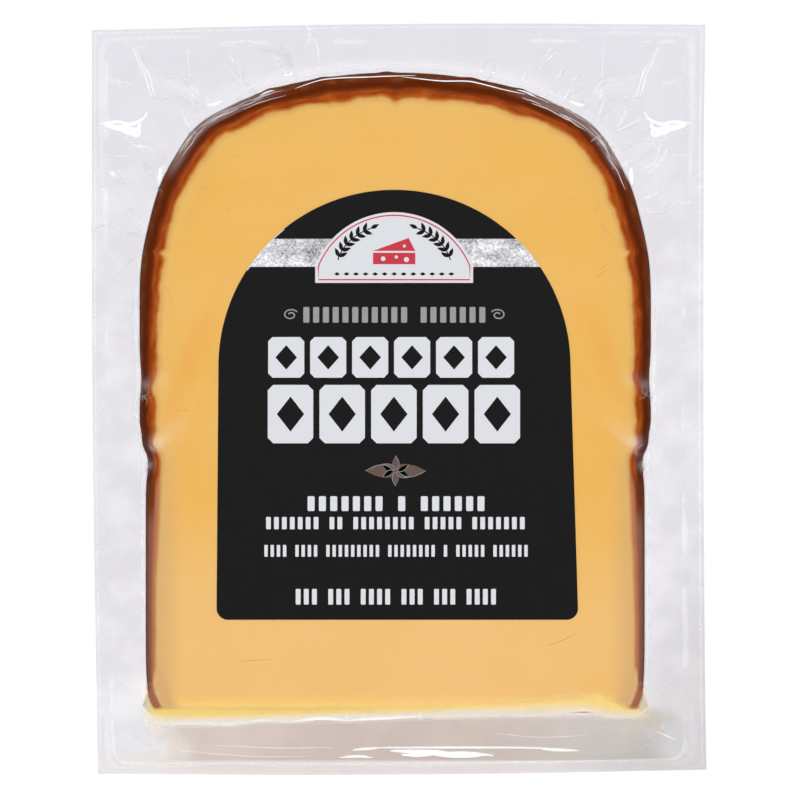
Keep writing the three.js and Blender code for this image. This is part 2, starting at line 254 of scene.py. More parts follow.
# ---- How fine the meshes are ----

FILM_STATIONS, CHEESE_STATIONS = 760, 720  # directions round the slab
OUTLINE_SAMPLES = 6000
NORMAL_STEP = math.radians(0.6)
TURN_WEIGHT = 10  # how much closer together the directions lie where the outline turns
FACE_SHARES = (0.2, 0.4, 0.6, 0.75, 0.86, 0.93, 0.97, 0.99)
CHEESE_EDGE_STEPS = 14
CHEESE_WALL_SHARES = np.linspace(0.08, 0.94, 11)
CHEESE_BACK_ROUNDING = 1.4
FILM_FACE_SHARES = (0.3, 0.6, 0.8, 0.88, 0.91, 0.93, 0.95, 0.965, 0.98, 0.99, 0.997)
FILM_EDGE_STEPS = 12
FILM_WALL_SHARES = 1 - np.linspace(0.96, 0, 15) ** 1.7
FILM_FOOT_SHARE = 0.95  # below this share of the wall the film turns out into the flange
FILM_ROOM = 0.12  # at least this much between the front film and the back film
CUT_EDGE_RELIEF = 0.3  # share of the relief that is left at the cut edge
FLANGE_SHARES = np.linspace(0.03, 0.97, 30)
POCKET_LINE = ((-0.4, 0), (-0.2, 0.06), (0, 0.16), (0.2, 0.03), (0.4, -0.08))  # across, up
POCKET_LINE_Y = (-78, -84)  # between these heights the line grows from faint to plain
SEAL_SHARES = (0.35, 0.7, 1)
BACK_SHARES = (0, 0.2, 0.4, 0.6, 0.8)
CREASE_STEP, CREASE_SIDES = 0.5, 14  # along a crease, and round it
CREASE_LEAST, CREASE_DEPTH = 0.01, 0.03  # how far it stands out at least, and lies under the surface


# ---- Small tools ----


def smoothstep(value, low, high):
    """0 at low and 1 at high, smooth between; low may be the larger of the two."""
    share = np.clip((value - low) / (high - low), 0, 1)
    return share * share * (3 - 2 * share)


def bell(value, middle, half):
    return np.exp(-(((value - middle) / half) ** 2))


def lerp(a, b, share):
    return a + (b - a) * share


def direction(angle):
    """Vectors of length 1 at some angles."""
    return np.stack([np.cos(angle), np.sin(angle)], axis=-1)


def unit(vectors):
    return vectors / np.maximum(np.linalg.norm(vectors, axis=-1, keepdims=True), 1e-9)


def turned_left(vectors):
    return np.stack([-vectors[..., 1], vectors[..., 0]], axis=-1)


def step_lengths(points):
    return np.linalg.norm(np.diff(points, axis=0), axis=-1)


def ring(point, height):
    return np.column_stack([point, np.broadcast_to(height, len(point))])


def mirrored(points):
    return [(2 * MIRROR_X - x, y) for x, y in points]


# ---- The slab's outline and the places round it ----


def slab_outline(angle):
    """Points of the slab's widest outline in the directions of some angles."""
    way = direction(angle)
    above = way[..., 1] >= 0
    exponent = np.where(above, ARCH_ROUNDNESS, BASE_SQUARENESS)
    reach_x = SLAB_WIDTH / 2
    reach_y = np.where(above, ARCH_RISE, SLAB_HEIGHT - ARCH_RISE)
    span = abs(way[..., 0] / reach_x) ** exponent + abs(way[..., 1] / reach_y) ** exponent
    turn = np.degrees(np.arcsin(np.clip(way[..., 1], 0, 1)))
    shift = sum(far * bell(turn, middle, spread) for middle, spread, far in ARCH_SHIFTS)
    point = way * (span ** (-1 / exponent) + shift)[..., None]
    height = point[..., 1] + SLAB_CENTRE[1]
    inset = WAIST_DEPTH * smoothstep(height, *WAIST_Y)
    inset = inset + sum(depth * bell(height, dent_y, DENT_HALF_HEIGHT) for dent_y, depth in DENTS)
    return np.stack([point[..., 0] * (1 - inset / reach_x), point[..., 1]], axis=-1) + SLAB_CENTRE


def outward_normal(angle):
    return -turned_left(unit(slab_outline(angle + NORMAL_STEP) - slab_outline(angle - NORMAL_STEP)))


def spread_angles(start, end, count):
    """Angles between two directions, close together where the outline is long or turns."""
    angle = np.linspace(start, end, OUTLINE_SAMPLES)
    steps = step_lengths(slab_outline(angle)) + TURN_WEIGHT * step_lengths(outward_normal(angle))
    measure = np.concatenate([[0], np.cumsum(steps)])
    return np.interp(np.arange(count) / count * measure[-1], measure, angle), measure[-1]


def ray_to_rectangle(angle, box, corner_radius):
    """Where rays from the slab's centre leave a rectangle with rounded corners."""
    ray = direction(angle)
    side = np.where(ray[:, 0] > 0, box.right, box.left) - SLAB_CENTRE[0]
    end = np.where(ray[:, 1] > 0, box.top, box.bottom) - SLAB_CENTRE[1]
    with np.errstate(divide="ignore"):
        reach = np.minimum(abs(side / ray[:, 0]), abs(end / ray[:, 1]))
    point = ray * reach[:, None] + SLAB_CENTRE
    low = np.array([box.left, box.bottom]) + corner_radius
    high = np.array([box.right, box.top]) - corner_radius
    core = np.clip(point, low, high)
    out = point - core
    at_corner = (abs(out) > 1e-6).all(axis=1)[:, None]
    return np.where(at_corner, core + unit(out) * corner_radius, point)


def uneven(point):
    """Moves points of the true rectangle onto the pack's slightly uneven outline."""
    u = ((point[:, 0] - PACK.left) / (PACK.right - PACK.left))[:, None]
    v = ((point[:, 1] - PACK.bottom) / (PACK.top - PACK.bottom))[:, None]
    left, right = (lerp(*ends, v) for ends in CORNER_SHIFT)
    bow_x = lerp(-EDGE_BOW.left, EDGE_BOW.right, u) * 4 * v * (1 - v)
    bow_y = lerp(-EDGE_BOW.bottom, EDGE_BOW.top, v) * 4 * u * (1 - u)
    return point + lerp(left, right, u) + np.hstack([bow_x, bow_y])


def places_round_slab(count):
    """What the rings of a mesh need to know about each of count directions round the slab."""
    corners = (
        (PACK.right, PACK.bottom), (PACK.right, PACK.top),
        (PACK.left, PACK.top), (PACK.left, PACK.bottom),
    )
    turns = [math.atan2(y - SLAB_CENTRE[1], x - SLAB_CENTRE[0]) for x, y in corners]
    turns[3] += 2 * math.pi
    sides = list(zip(turns, [*turns[1:], turns[0] + 2 * math.pi]))
    lengths = [spread_angles(*side, 1)[1] for side in sides]
    angle = np.concatenate([
        spread_angles(*side, round(count * length / sum(lengths)))[0]
        for side, length in zip(sides, lengths)
    ])
    outline, normal = slab_outline(angle), outward_normal(angle)
    top, base = (np.maximum(way * normal[:, 1], 0) ** 2 for way in (1, -1))
    off_middle = abs(outline[:, 0] - SLAB_CENTRE[0])
    at_side = smoothstep(off_middle, SLAB_WIDTH / 2 - FOOT_SPREAD_ROOM, SLAB_WIDTH / 2)
    return SimpleNamespace(
        outline=outline,
        normal=normal,
        base=base,
        corner=np.minimum(base * 4, 1) * at_side,
        face_inset=lerp(np.interp(outline[:, 1], RIND_Y, RIND_WIDTH), BASE_FACE_INSET, base),
        edge_drop=lerp(EDGE_DROP_RIND, EDGE_DROP_BASE, base),
        web_run=WEB_SIDE + (WEB_TOP - WEB_SIDE) * top + (WEB_BASE - WEB_SIDE) * base,
        web_shape=lerp(WEB_STEEP, WEB_SLOPING, np.sqrt(base)),
        pocket=uneven(ray_to_rectangle(angle, POCKET, POCKET_CORNER)),
        edge=uneven(ray_to_rectangle(angle, PACK, 0)),
    )


def corner_lift(point):
    """The curl of the flange's corners, as in the solids."""
    along_x = smoothstep(abs(point[..., 0]) / PACK.right, *CORNER_LIFT_SHARES)
    along_y = smoothstep(abs(point[..., 1]) / PACK.top, *CORNER_LIFT_SHARES)
    return CORNER_LIFT * along_x * along_y


def top_puckers(place):
    """How far the film and the rind stand out at the puckers along the top of the arch."""
    on_top = smoothstep(place.normal[:, 1], 0.3, 0.7)
    shape = sum(bell(place.outline[:, 0], x, TOP_PUCKER_HALF_WIDTH) for x in TOP_PUCKERS)
    return TOP_PUCKER_HEIGHT * on_top * shape


def slab_rings(place, gap, face_shares, edge_steps):
    """Rings from the middle of the front face to the widest outline, gap inside the film."""
    def offset(distance):
        return place.outline + place.normal * (distance - gap)[:, None]

    top = FRONT_Z - gap
    puckers = top_puckers(place)
    face_edge = offset(-place.face_inset)
    rings = [ring(lerp(SLAB_CENTRE, face_edge, share), top) for share in face_shares]
    for turn in np.linspace(0, math.pi / 2, edge_steps + 1):
        edge = offset(puckers * math.sin(turn) - place.face_inset * (1 - math.sin(turn)))
        rings.append(ring(edge, top - place.edge_drop * (1 - math.cos(turn))))
    return rings, offset


def foot_spread(place, share):
    """How far the slab's back corners have spread at a share of the way down the wall."""
    return FOOT_SPREAD * place.corner * smoothstep(share, 0, 0.6)


# ---- Relief of the film ----


def smooth_line(points, steps=7):
    """A Catmull-Rom curve through some points."""
    knots = np.array([points[0], *points, points[-1]], float)
    t = np.linspace(0, 1, steps, endpoint=False)[:, None]
    pieces = []
    for a, b, c, d in zip(knots, knots[1:], knots[2:], knots[3:]):
        bend = (2 * a - 5 * b + 4 * c - d) * t**2 + (3 * b - a - 3 * c + d) * t**3
        pieces.append(0.5 * (2 * b + (c - a) * t + bend))
    return np.concatenate([*pieces, knots[-1:]])


def crease_height(x, y, points, height, half_width):
    """Height of one crease over the points x, y: a ridge that fades at both ends."""
    line = smooth_line(points)
    reach = 3 * half_width
    low, high = line.min(axis=0) - reach, line.max(axis=0) + reach
    near = (x > low[0]) & (x < high[0]) & (y > low[1]) & (y < high[1])
    result = np.zeros_like(x)
    if not near.any():
        return result
    runs, lengths = np.diff(line, axis=0), np.maximum(step_lengths(line), 1e-9)
    before = np.concatenate([[0], np.cumsum(lengths)[:-1]]) / lengths.sum()
    to_spot = np.column_stack([x[near], y[near]])[:, None] - line[:-1]
    share = np.clip((to_spot * runs).sum(-1) / lengths**2, 0, 1)
    gap = np.linalg.norm(to_spot - share[..., None] * runs, axis=-1)
    nearest = gap.argmin(axis=1)
    rows = np.arange(len(gap))
    along = before[nearest] + share[rows, nearest] * lengths[nearest] / lengths.sum()
    fading = np.sin(np.pi * np.clip(along, 0, 1)) ** 0.6
    result[near] = height * fading * bell(gap[rows, nearest], 0, half_width)
    return result


def stray_creases():
    """Small creases at random between the shoulders of the arch and the corners of the pack."""
    draw = np.random.default_rng(RANDOM_SEED)
    for side in np.repeat((-1, 1), STRAY_CREASES):
        turn = math.radians(draw.uniform(18, 76))
        start = direction(turn) * STRAY_REACH * (side, 1) + STRAY_CENTRE
        out = draw.uniform(3, 16)
        lean = turn + math.radians(draw.normal(0, 24))
        way = direction(lean) * (side, 1)
        length = draw.uniform(3, 9)
        aside = turned_left(way) * draw.normal(0, 0.12) * length
        first = start + way * out
        points = [first, first + way * length / 2 + aside, first + way * length]
        height, half_width = draw.uniform(0.03, 0.11), draw.uniform(0.2, 0.7)
        yield points, height, half_width, draw.uniform(0, 0.25)


def shoulder_streaks():
    """Fine wrinkles of the film along the rind of both shoulders."""
    draw = np.random.default_rng(RANDOM_SEED + 1)
    for side in np.repeat((-1, 1), SHOULDER_STREAKS):
        middle, half = draw.uniform(*SHOULDER_TURN), draw.uniform(1.5, 5)
        inset = draw.uniform(0.4, 2.9)
        angle = np.radians(np.linspace(middle - half, middle + half, 5))
        points = slab_outline(angle) - outward_normal(angle) * (inset + draw.normal(0, 0.12, (5, 1)))
        if side < 0:
            points[:, 0] = 2 * SLAB_CENTRE[0] - points[:, 0]
        yield points, STREAK_HEIGHT, draw.uniform(0.05, 0.1), draw.uniform(0.3, 0.9)


def pucker_rays():
    """Fine lines that run out of the places where the film is gathered over the rind."""
    draw = np.random.default_rng(RANDOM_SEED + 2)
    centres = [(x, y, radius) for left, y, radius in PUCKERS for x in (left, 2 * MIRROR_X - left)]
    for x, y, radius in np.repeat(centres, PUCKER_RAYS, axis=0):
        way = direction(draw.uniform(0, 2 * math.pi))
        reach = radius * draw.uniform(0.7, 1.5)
        bend = turned_left(way) * draw.normal(0, 0.3)
        first = np.array([x, y]) + draw.normal(0, 0.3, 2)
        points = [first, first + way * reach / 2 + bend, first + way * reach]
        yield points, RAY_HEIGHT, draw.uniform(0.05, 0.09), draw.uniform(0.04, 0.2)


def ripple(x, y, wavelength, seed, waves=9):
    """A smooth random surface of about unit height, made of waves in random directions."""
    draw = np.random.default_rng(seed)
    total = np.zeros_like(x)
    for _ in range(waves):
        way = draw.uniform(0, 2 * math.pi)
        number = 2 * math.pi / wavelength * draw.uniform(0.6, 1.5)
        total += np.sin(number * (x * math.cos(way) + y * math.sin(way)) + draw.uniform(0, 6.3))
    return total / math.sqrt(waves)


def spot(x, y, centre_x, centre_y, half_x, half_y):
    return bell(x, centre_x, half_x) * bell(y, centre_y, half_y)


def film_relief(x, y, on_flange):
    """How far the film stands out from its smooth shape over the points x, y."""
    relief = np.zeros_like(x)
    pleats = 0.6 + 0.4 * np.sin(2.4 * (x + 2 * y))
    for points in FOLDS:
        for line in (points, mirrored(points)):
            relief += crease_height(x, y, line, FOLD_HEIGHT, FOLD_HALF_WIDTH)
    for pucker_x, pucker_y, radius in PUCKERS:
        for centre in (pucker_x, 2 * MIRROR_X - pucker_x):
            relief += PUCKER_HEIGHT * spot(x, y, centre, pucker_y, radius, radius) * pleats
    return relief + on_flange * sum(
        height * ripple(x, y, wavelength, seed) for height, wavelength, seed in FLANGE_RIPPLES
    )


# ---- Making meshes ----


def add_object(name, data):
    made = bpy.data.objects.new(name, data)
    bpy.context.scene.collection.objects.link(made)
    return made


def new_mesh(name, points, faces, smooth=True):
    """A mesh of points given in millimetres."""
    mesh = bpy.data.meshes.new(name)
    mesh.from_pydata((np.asarray(points) * MM).tolist(), [], faces)
    if smooth:
        mesh.shade_smooth()
    mesh.update()
    return mesh


def add_piece(mesh, material, slot):
    mesh.materials.append(material)
    piece = add_object(mesh.name, mesh)
    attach(piece, "root")
    return piece


def tube_faces(index):
    """Quadrilaterals between neighbouring rings, from the numbers of their points."""
    after = np.roll(index, -1, axis=1)
    return np.stack([index[:-1], index[1:], after[1:], after[:-1]], axis=-1).reshape(-1, 4).tolist()


def skin_rings(name, rings, first_centre, last_centre):
    """A closed mesh over a stack of rings, with a fan over the first and the last."""
    points = np.concatenate([[first_centre], *rings, [last_centre]])
    index = 1 + np.arange(len(points) - 2).reshape(len(rings), -1)
    first, last = index[0].tolist(), index[-1].tolist()
    fans = [(0, a, b) for a, b in zip(first, first[1:] + first[:1])]
    fans += [(a, len(points) - 1, b) for a, b in zip(last, last[1:] + last[:1])]
    return new_mesh(name, points, tube_faces(index) + fans)


def add_attribute(mesh, name, values):
    made = mesh.attributes.new(name, "FLOAT", "POINT")
    made.data.foreach_set("value", np.asarray(values, np.float32))


def surface_normals(rings):
    """Unit normals of a stack of rings, pointing out of the pack."""
    along = np.roll(rings, -1, axis=1) - np.roll(rings, 1, axis=1)
    return unit(np.cross(np.gradient(rings, axis=0), along))


# ---- Materials ----


def srgb(red, green, blue):
    """A colour given as the 0 to 255 values of a picture, as linear light."""
    parts = np.array([red, green, blue]) / 255
    linear = np.where(parts <= 0.04045, parts / 12.92, ((parts + 0.055) / 1.055) ** 2.4)
    return (*linear.tolist(), 1.0)


def new_material(name):
    material = bpy.data.materials.new(name)
    material.use_nodes = True
    material.node_tree.nodes.clear()
    return material


def node(material, kind, inputs=None, output=0, **settings):
    """Adds a shader node and gives one of its outputs; an input is a plain value or a wire."""
    made = material.node_tree.nodes.new("ShaderNode" + kind)
    for key, value in settings.items():
        setattr(made, key, value)
    for key, value in (inputs or {}).items():
        if isinstance(value, Wire):
            material.node_tree.links.new(value.socket, made.inputs[key])
        else:
            made.inputs[key].default_value = value
    return Wire(material, made.outputs[output])


class Wire:
    """An output of a node. Sums, products and sizes of wires are nodes as well."""

    def __init__(self, material, socket):
        self.material, self.socket = material, socket

    def maths(self, operation, other=0):
        return node(self.material, "Math", {0: self, 1: other}, operation=operation)

    def __add__(self, other):
        return self.maths("ADD", other)

    def __sub__(self, other):
        return self.maths("SUBTRACT", other)

    def __mul__(self, other):
        return self.maths("MULTIPLY", other)

    def __abs__(self):
        return self.maths("ABSOLUTE")

    def clamped(self):
        self.socket.node.use_clamp = True
        return self

    def part(self, axis):
        return node(self.material, "SeparateXYZ", {"Vector": self}, axis)

    def fade(self, low, high):
        """0 where the value is at low and 1 at high, smooth between, as smoothstep is."""
        inputs = {"Value": self, "From Min": low, "From Max": high}
        return node(self.material, "MapRange", inputs, "Result", interpolation_type="SMOOTHSTEP")

    def mix(self, first, second):
        """A blend of two colours: the first where the value is 0 and the second where it is 1."""
        factor, a, b, result = 0, 6, 7, 2  # sockets of the node that take and give colours
        inputs = {factor: self, a: first, b: second}
        return node(self.material, "Mix", inputs, result, data_type="RGBA")

    def noise(self, scale, detail=2, roughness=0.5):
        inputs = {"Vector": self, "Scale": scale, "Detail": detail, "Roughness": roughness}
        return node(self.material, "TexNoise", inputs, "Fac")

    def bump(self, distance, strength, under=None):
        inputs = {"Height": self, "Distance": distance * MM, "Strength": strength}
        if under:
            inputs["Normal"] = under
        return node(self.material, "Bump", inputs)


def millimetres(material, stretch=1, turn=0):
    """The place on the piece in millimetres, as a vector, drawn out along X where stretch is small."""
    place = node(material, "TexCoord", output="Object")
    scale = (stretch / MM, 1 / MM, 1 / MM)
    inputs = {"Vector": place, "Scale": scale, "Rotation": (0, 0, math.radians(turn))}
    return node(material, "Mapping", inputs)


def attribute(material, name):
    return node(material, "Attribute", output="Fac", attribute_name=name)


def finished(material, kind, inputs):
    """Ends a material with its last shader."""
    shader = node(material, kind, inputs)
    last = material.node_tree.nodes.new("ShaderNodeOutputMaterial")
    material.node_tree.links.new(shader.socket, last.inputs["Surface"])
    return material


LOW_RIND_SIDE = 57.2  # from the middle line to the rind below the waist
LABEL_SIDE = (38, 50)  # between these distances from the middle the film is drawn beside the label
HOOK_BROWN = srgb(164, 102, 74)


def layered(depth, colour, layers):
    """Colours laid over the first one; each comes in between two depths."""
    for low, high, over in layers:
        colour = depth.fade(low, high).mix(colour, over)
    return colour


def cheese_material():
    """Yellow cheese that darkens through orange into the smoked rind, by the distance to the face."""
    material = new_material("cheese_and_rind")
    place = millimetres(material)
    x, y = place.part("X"), place.part("Y")
    clouds = millimetres(material, 0.6).noise(0.045, 3)
    streaks = millimetres(material, 0.25, turn=24).noise(0.16)
    low_face, low_sides = y.fade(-25, -58), y.fade(-8, -17)
    below_waist, far_below_waist = y.fade(-17, -21), y.fade(-24, -31)
    pale_share = (low_face * 0.7 + (clouds - 0.5) + streaks * 0.3).clamped()
    face = pale_share.mix(srgb(232, 181, 93), srgb(236, 191, 125))

    slanting = node(material, "CombineXYZ", {"X": y * 0.39 + abs(x), "Y": y * 0.12})
    beside_label = abs(x).fade(*LABEL_SIDE) * y.fade(-45, -5)
    drawn = slanting.noise(0.16).fade(0.42, 0.66) * beside_label
    face = (drawn * 0.65).mix(face, srgb(231, 171, 86))

    rind = attribute(material, "rind_mm")
    fine = place.noise(0.7)
    depth = (place.noise(0.12, 3) - 0.5) * (low_sides * -2.2 + 3.2) + rind
    depth = (fine - 0.5) * 0.15 + depth
    straight_rind = abs(x - MIRROR_X) - LOW_RIND_SIDE
    into_rind = (straight_rind - rind) * low_sides + rind
    olive = into_rind.fade(-8, -0.8) * (low_sides * 0.35 + 0.5)
    face = olive.mix(face, low_sides.mix(srgb(224, 184, 106), srgb(212, 172, 114)))
    face = (depth.fade(-1.9, 0.2) * 0.75).mix(face, srgb(196, 146, 88))
    face = (attribute(material, "base_edge") * 0.6).mix(face, srgb(248, 211, 120))

    along = node(material, "CombineXYZ", {"X": attribute(material, "along_mm") * 0.22, "Y": depth})
    glassy = along.noise(0.9).fade(0.4, 0.7).mix(srgb(144, 55, 2), srgb(172, 82, 12))
    blotchy = place.noise(0.4, 3).fade(0.4, 0.75).mix(srgb(118, 54, 14), srgb(150, 80, 36))
    upper = layered(depth, face, (
        (-0.55, 0.2, srgb(178, 94, 26)),
        (0.15, 0.55, glassy),
        (0.8, 3, srgb(96, 34, 3)),
        (3.2, 6.5, blotchy),
    ))
    # Far below the waist the rind is painted a lighter brown, to make up for the shade on the steep
    # rounding there.
    lower = layered(depth, face, (
        (-1.4, 0.2, srgb(180, 112, 78)),
        (0, 1.3, far_below_waist.mix(srgb(120, 56, 24), srgb(154, 98, 76))),
        (2.6, 6.5, blotchy),
    ))
    colour = base_corner(material, x, y, below_waist.mix(upper, lower))
    grain = place.noise(2.2, 4).bump(0.05, 0.5)
    return finished(material, "BsdfPrincipled", {
        "Base Color": colour,
        "Roughness": fine * 0.15 + 0.38,
        "Specular IOR Level": 0.04,
        "Subsurface Weight": rind.fade(0.5, -1.5) * 0.18,
        "Subsurface Radius": (1, 0.45, 0.15),
        "Subsurface Scale": 0.0025,
        "Normal": place.noise(0.3, 3).bump(0.12, 0.6, under=grain),
    })


def beside_hook(x, y):
    """How far a place lies outside the hook of rind and how far down along it; for arrays or wires."""
    run_x, run_y = (np.subtract(HOOK_END, HOOK_START) / HOOK_LENGTH).tolist()
    side, up = abs(x - MIRROR_X) - HOOK_START[0], y - HOOK_START[1]
    return up * run_x - side * run_y, side * run_x + up * run_y


def base_corner(material, x, y, colour):
    """Paints the hook of rind and the cream cheese outside it over the colour given."""
    out, down = beside_hook(x, y)
    out = (millimetres(material).noise(0.5) - 0.5) * 0.9 + out
    past_band = out + (down.fade(1.8, -4) * 2.4 + 1.1)
    inside = past_band.fade(0.4, -0.6) * down.fade(-3.5, -1.5) * out.fade(-6, -3)
    colour = inside.mix(colour, srgb(213, 170, 116))
    outside = out.fade(0.8, 1.5) * down.fade(-0.6, 0.6)
    colour = outside.mix(colour, srgb(250, 232, 172))
    width = down * -HOOK_SWELL + abs(out)
    on_hook = width.fade(HOOK_HALF_WIDTH + 0.35, HOOK_HALF_WIDTH - 0.35)
    on_hook = on_hook * down.fade(-0.8, 0.4) * down.fade(HOOK_LENGTH + 0.5, HOOK_LENGTH - 0.4)
    return on_hook.mix(colour, HOOK_BROWN)


FILM_INDEX = 1.52  # of refraction
FILM_MIRROR_MOST = 0.15  # seen at a slant the film mirrors less than a flat sheet would


def film_material():
    """Clear film: it lets most light through, slightly grey, and mirrors the rest."""
    material = new_material("clear_film")
    place = millimetres(material)
    x, y = place.part("X"), place.part("Y")
    ribs = [
        node(material, "TexWave", {"Vector": millimetres(material, turn=turn), "Scale": scale}, "Fac")
        for turn, scale in ((30, 0.42), (-62, 0.34))
    ]
    knurl = ribs[0] * ribs[1] * attribute(material, "seal")
    wavy = millimetres(material, 0.3).noise(0.5, 3).bump(0.05, 0.8, under=knurl.bump(0.02, 0.8))
    normal = place.noise(1.7, 3).bump(0.012, 0.8, under=wavy)

    clouds = place.noise(0.09, 4, 0.6).fade(0.35, 0.7)
    thin = clouds.mix((0.89, 0.888, 0.905, 1), (0.938, 0.936, 0.95, 1))
    at_foot, at_top = y.fade(-83, -87.5), y.fade(35, 85) * 0.85
    thin = at_foot.mix(thin, (0.9, 0.888, 0.884, 1))
    to_corner = (y * -0.6 + x).fade(85, 125) * 0.5
    thin = to_corner.mix(thin, (0.75, 0.735, 0.735, 1))
    thin = at_top.mix(thin, (0.892, 0.89, 0.912, 1))
    thin = attribute(material, "cover").mix(thin, (0.975, 0.97, 0.965, 1))
    # The grey pink of the web is painted shade of the hollow under the slab's base, laid into the film's
    # tint.
    web = place.noise(0.12, 3).mix(srgb(211, 198, 190), srgb(216, 205, 198))
    to_left, to_right = x.fade(-10, -50), x.fade(15, 50)
    web = to_left.mix(web, srgb(224, 213, 205))
    web = to_right.mix(web, srgb(214, 210, 204))
    tint = attribute(material, "web").mix(thin, web)

    cream = attribute(material, "cream")
    smeared = attribute(material, "butter").mix(srgb(229, 221, 211), srgb(238, 206, 124))
    smeared = attribute(material, "hook").mix(smeared, HOOK_BROWN)
    milk_and_glint_colour = cream.fade(0.02, 0.2).mix(srgb(246, 245, 248), smeared)
    smear = (cream * (place.noise(0.35, 3) * 0.3 + 0.85)).clamped()
    milk_and_glint_share = (knurl * 0.06 + (attribute(material, "haze_and_sheen") * 0.38 + smear)).clamped()
    mirror_share = attribute(material, "tight") * -0.37 + 0.4
    return clear_shader(material, tint, milk_and_glint_colour, milk_and_glint_share, mirror_share, normal)


def crease_material():
    """The same film where it is creased: it mirrors more, and some creases are painted white as glints.
    """
    material = new_material("film_crease")
    place = millimetres(material)
    outer = attribute(material, "outer")
    streaky = place.noise(0.5, 3) * 0.8 + 0.6
    # The white of a crease is a painted glint on its upper side.
    share = (attribute(material, "white") * streaky * outer).clamped()
    tint = place.noise(0.4).mix((0.985, 0.985, 0.99, 1), (1, 1, 1, 1))
    normal = place.noise(1.2, 3).bump(0.03, 0.8)
    return clear_shader(material, tint, srgb(252, 252, 254), share, outer * 0.8, normal)


def clear_shader(material, tint, milk_and_glint_colour, milk_and_glint_share, mirror_share, normal):
    """A clear film under one mirroring surface, but for a share of milky white that also holds painted
    glints and sheen.
    """
    # The correction would darken the milky share where the film is steep.
    material.cycles.use_bump_map_correction = False
    clear = node(material, "BsdfTransparent", {"Color": tint})
    sway = millimetres(material).noise(0.5) * 0.02
    up = node(material, "CombineXYZ", {"X": sway, "Z": 1})
    milky = node(material, "BsdfDiffuse", {"Color": milk_and_glint_colour, "Normal": up})
    body = node(material, "MixShader", {0: milk_and_glint_share, 1: clear, 2: milky})
    gloss = {"Color": (1, 1, 1, 1), "Roughness": 0.1, "Normal": normal}
    shine = node(material, "BsdfGlossy", gloss)
    inside = node(material, "NewGeometry", output="Backfacing")
    index = inside * (1 / FILM_INDEX - FILM_INDEX) + FILM_INDEX
    mirror = node(material, "Fresnel", {"IOR": index, "Normal": normal})
    mirror = mirror.maths("MINIMUM", FILM_MIRROR_MOST) * mirror_share
    return finished(material, "MixShader", {0: mirror, 1: body, 2: shine})


def print_material(name, colour, roughness=0.45, mottle=0.1, metallic=0):
    """Printed paper: an even colour with a slight mottle and a fine grain."""
    material = new_material(name)
    place = millimetres(material)
    cloud = place.noise(0.5, 4)
    darker = (*(0.6 * part for part in colour[:3]), 1)
    return finished(material, "BsdfPrincipled", {
        "Base Color": (cloud * mottle).mix(colour, darker),
        "Roughness": cloud * 0.12 + (roughness - 0.06),
        "Specular IOR Level": 0.06,
        "Metallic": metallic,
        "Normal": place.noise(5, 3).bump(0.01, 0.35),
    })


def glitter_material():
    """Silver print with fine glitter."""
    material = new_material("silver_glitter")
    flakes = node(material, "TexVoronoi", {"Vector": millimetres(material), "Scale": 2.7}, "Color")
    sparkle = node(material, "SeparateColor", {"Color": flakes}, "Red")
    # The glitter's sparkle is painted into the base colour as bright flakes.
    level = millimetres(material, 0.6).noise(0.3, 3).fade(0.3, 0.7) * 0.5 + sparkle * 0.55
    return finished(material, "BsdfPrincipled", {
        "Base Color": level.mix(srgb(92, 91, 96), srgb(248, 247, 252)),
        "Roughness": 0.38,
        "Metallic": 0.25,
        "Specular IOR Level": 0.5,
        "Normal": sparkle.bump(0.05, 0.5),
    })


def mark_material():
    material = new_material("brown_hairline")
    colour = millimetres(material).noise(1.2, 3).mix(srgb(210, 134, 52), srgb(232, 168, 82))
    return finished(material, "BsdfPrincipled", {"Base Color": colour, "Roughness": 0.5})


def floor_material():
    material = new_material("pale_floor")
    colour = millimetres(material).noise(0.004).mix(srgb(250, 250, 251), srgb(246, 246, 248))
    return finished(material, "BsdfDiffuse", {"Color": colour})


# ---- The cheese ----

RIND_OFF_BASE = 40  # taken off the distance into the rind where the slab was cut
FACE_RIND_MM = -60  # what the middle of the face and of the back are given


def rind_notches(place):
    """How much wider than usual the band of rind is at its notches and at its blot."""
    x, y = place.outline.T
    on_side = smoothstep(abs(place.normal[:, 0]), 0.5, 0.8)
    extra = sum(width * bell(y, height, half) for height, width, half in RIND_NOTCHES)
    blot_x, width, half = RIND_BLOT
    blot = width * bell(x, blot_x, half) * smoothstep(place.normal[:, 1], 0.8, 0.95)
    return extra * on_side + blot


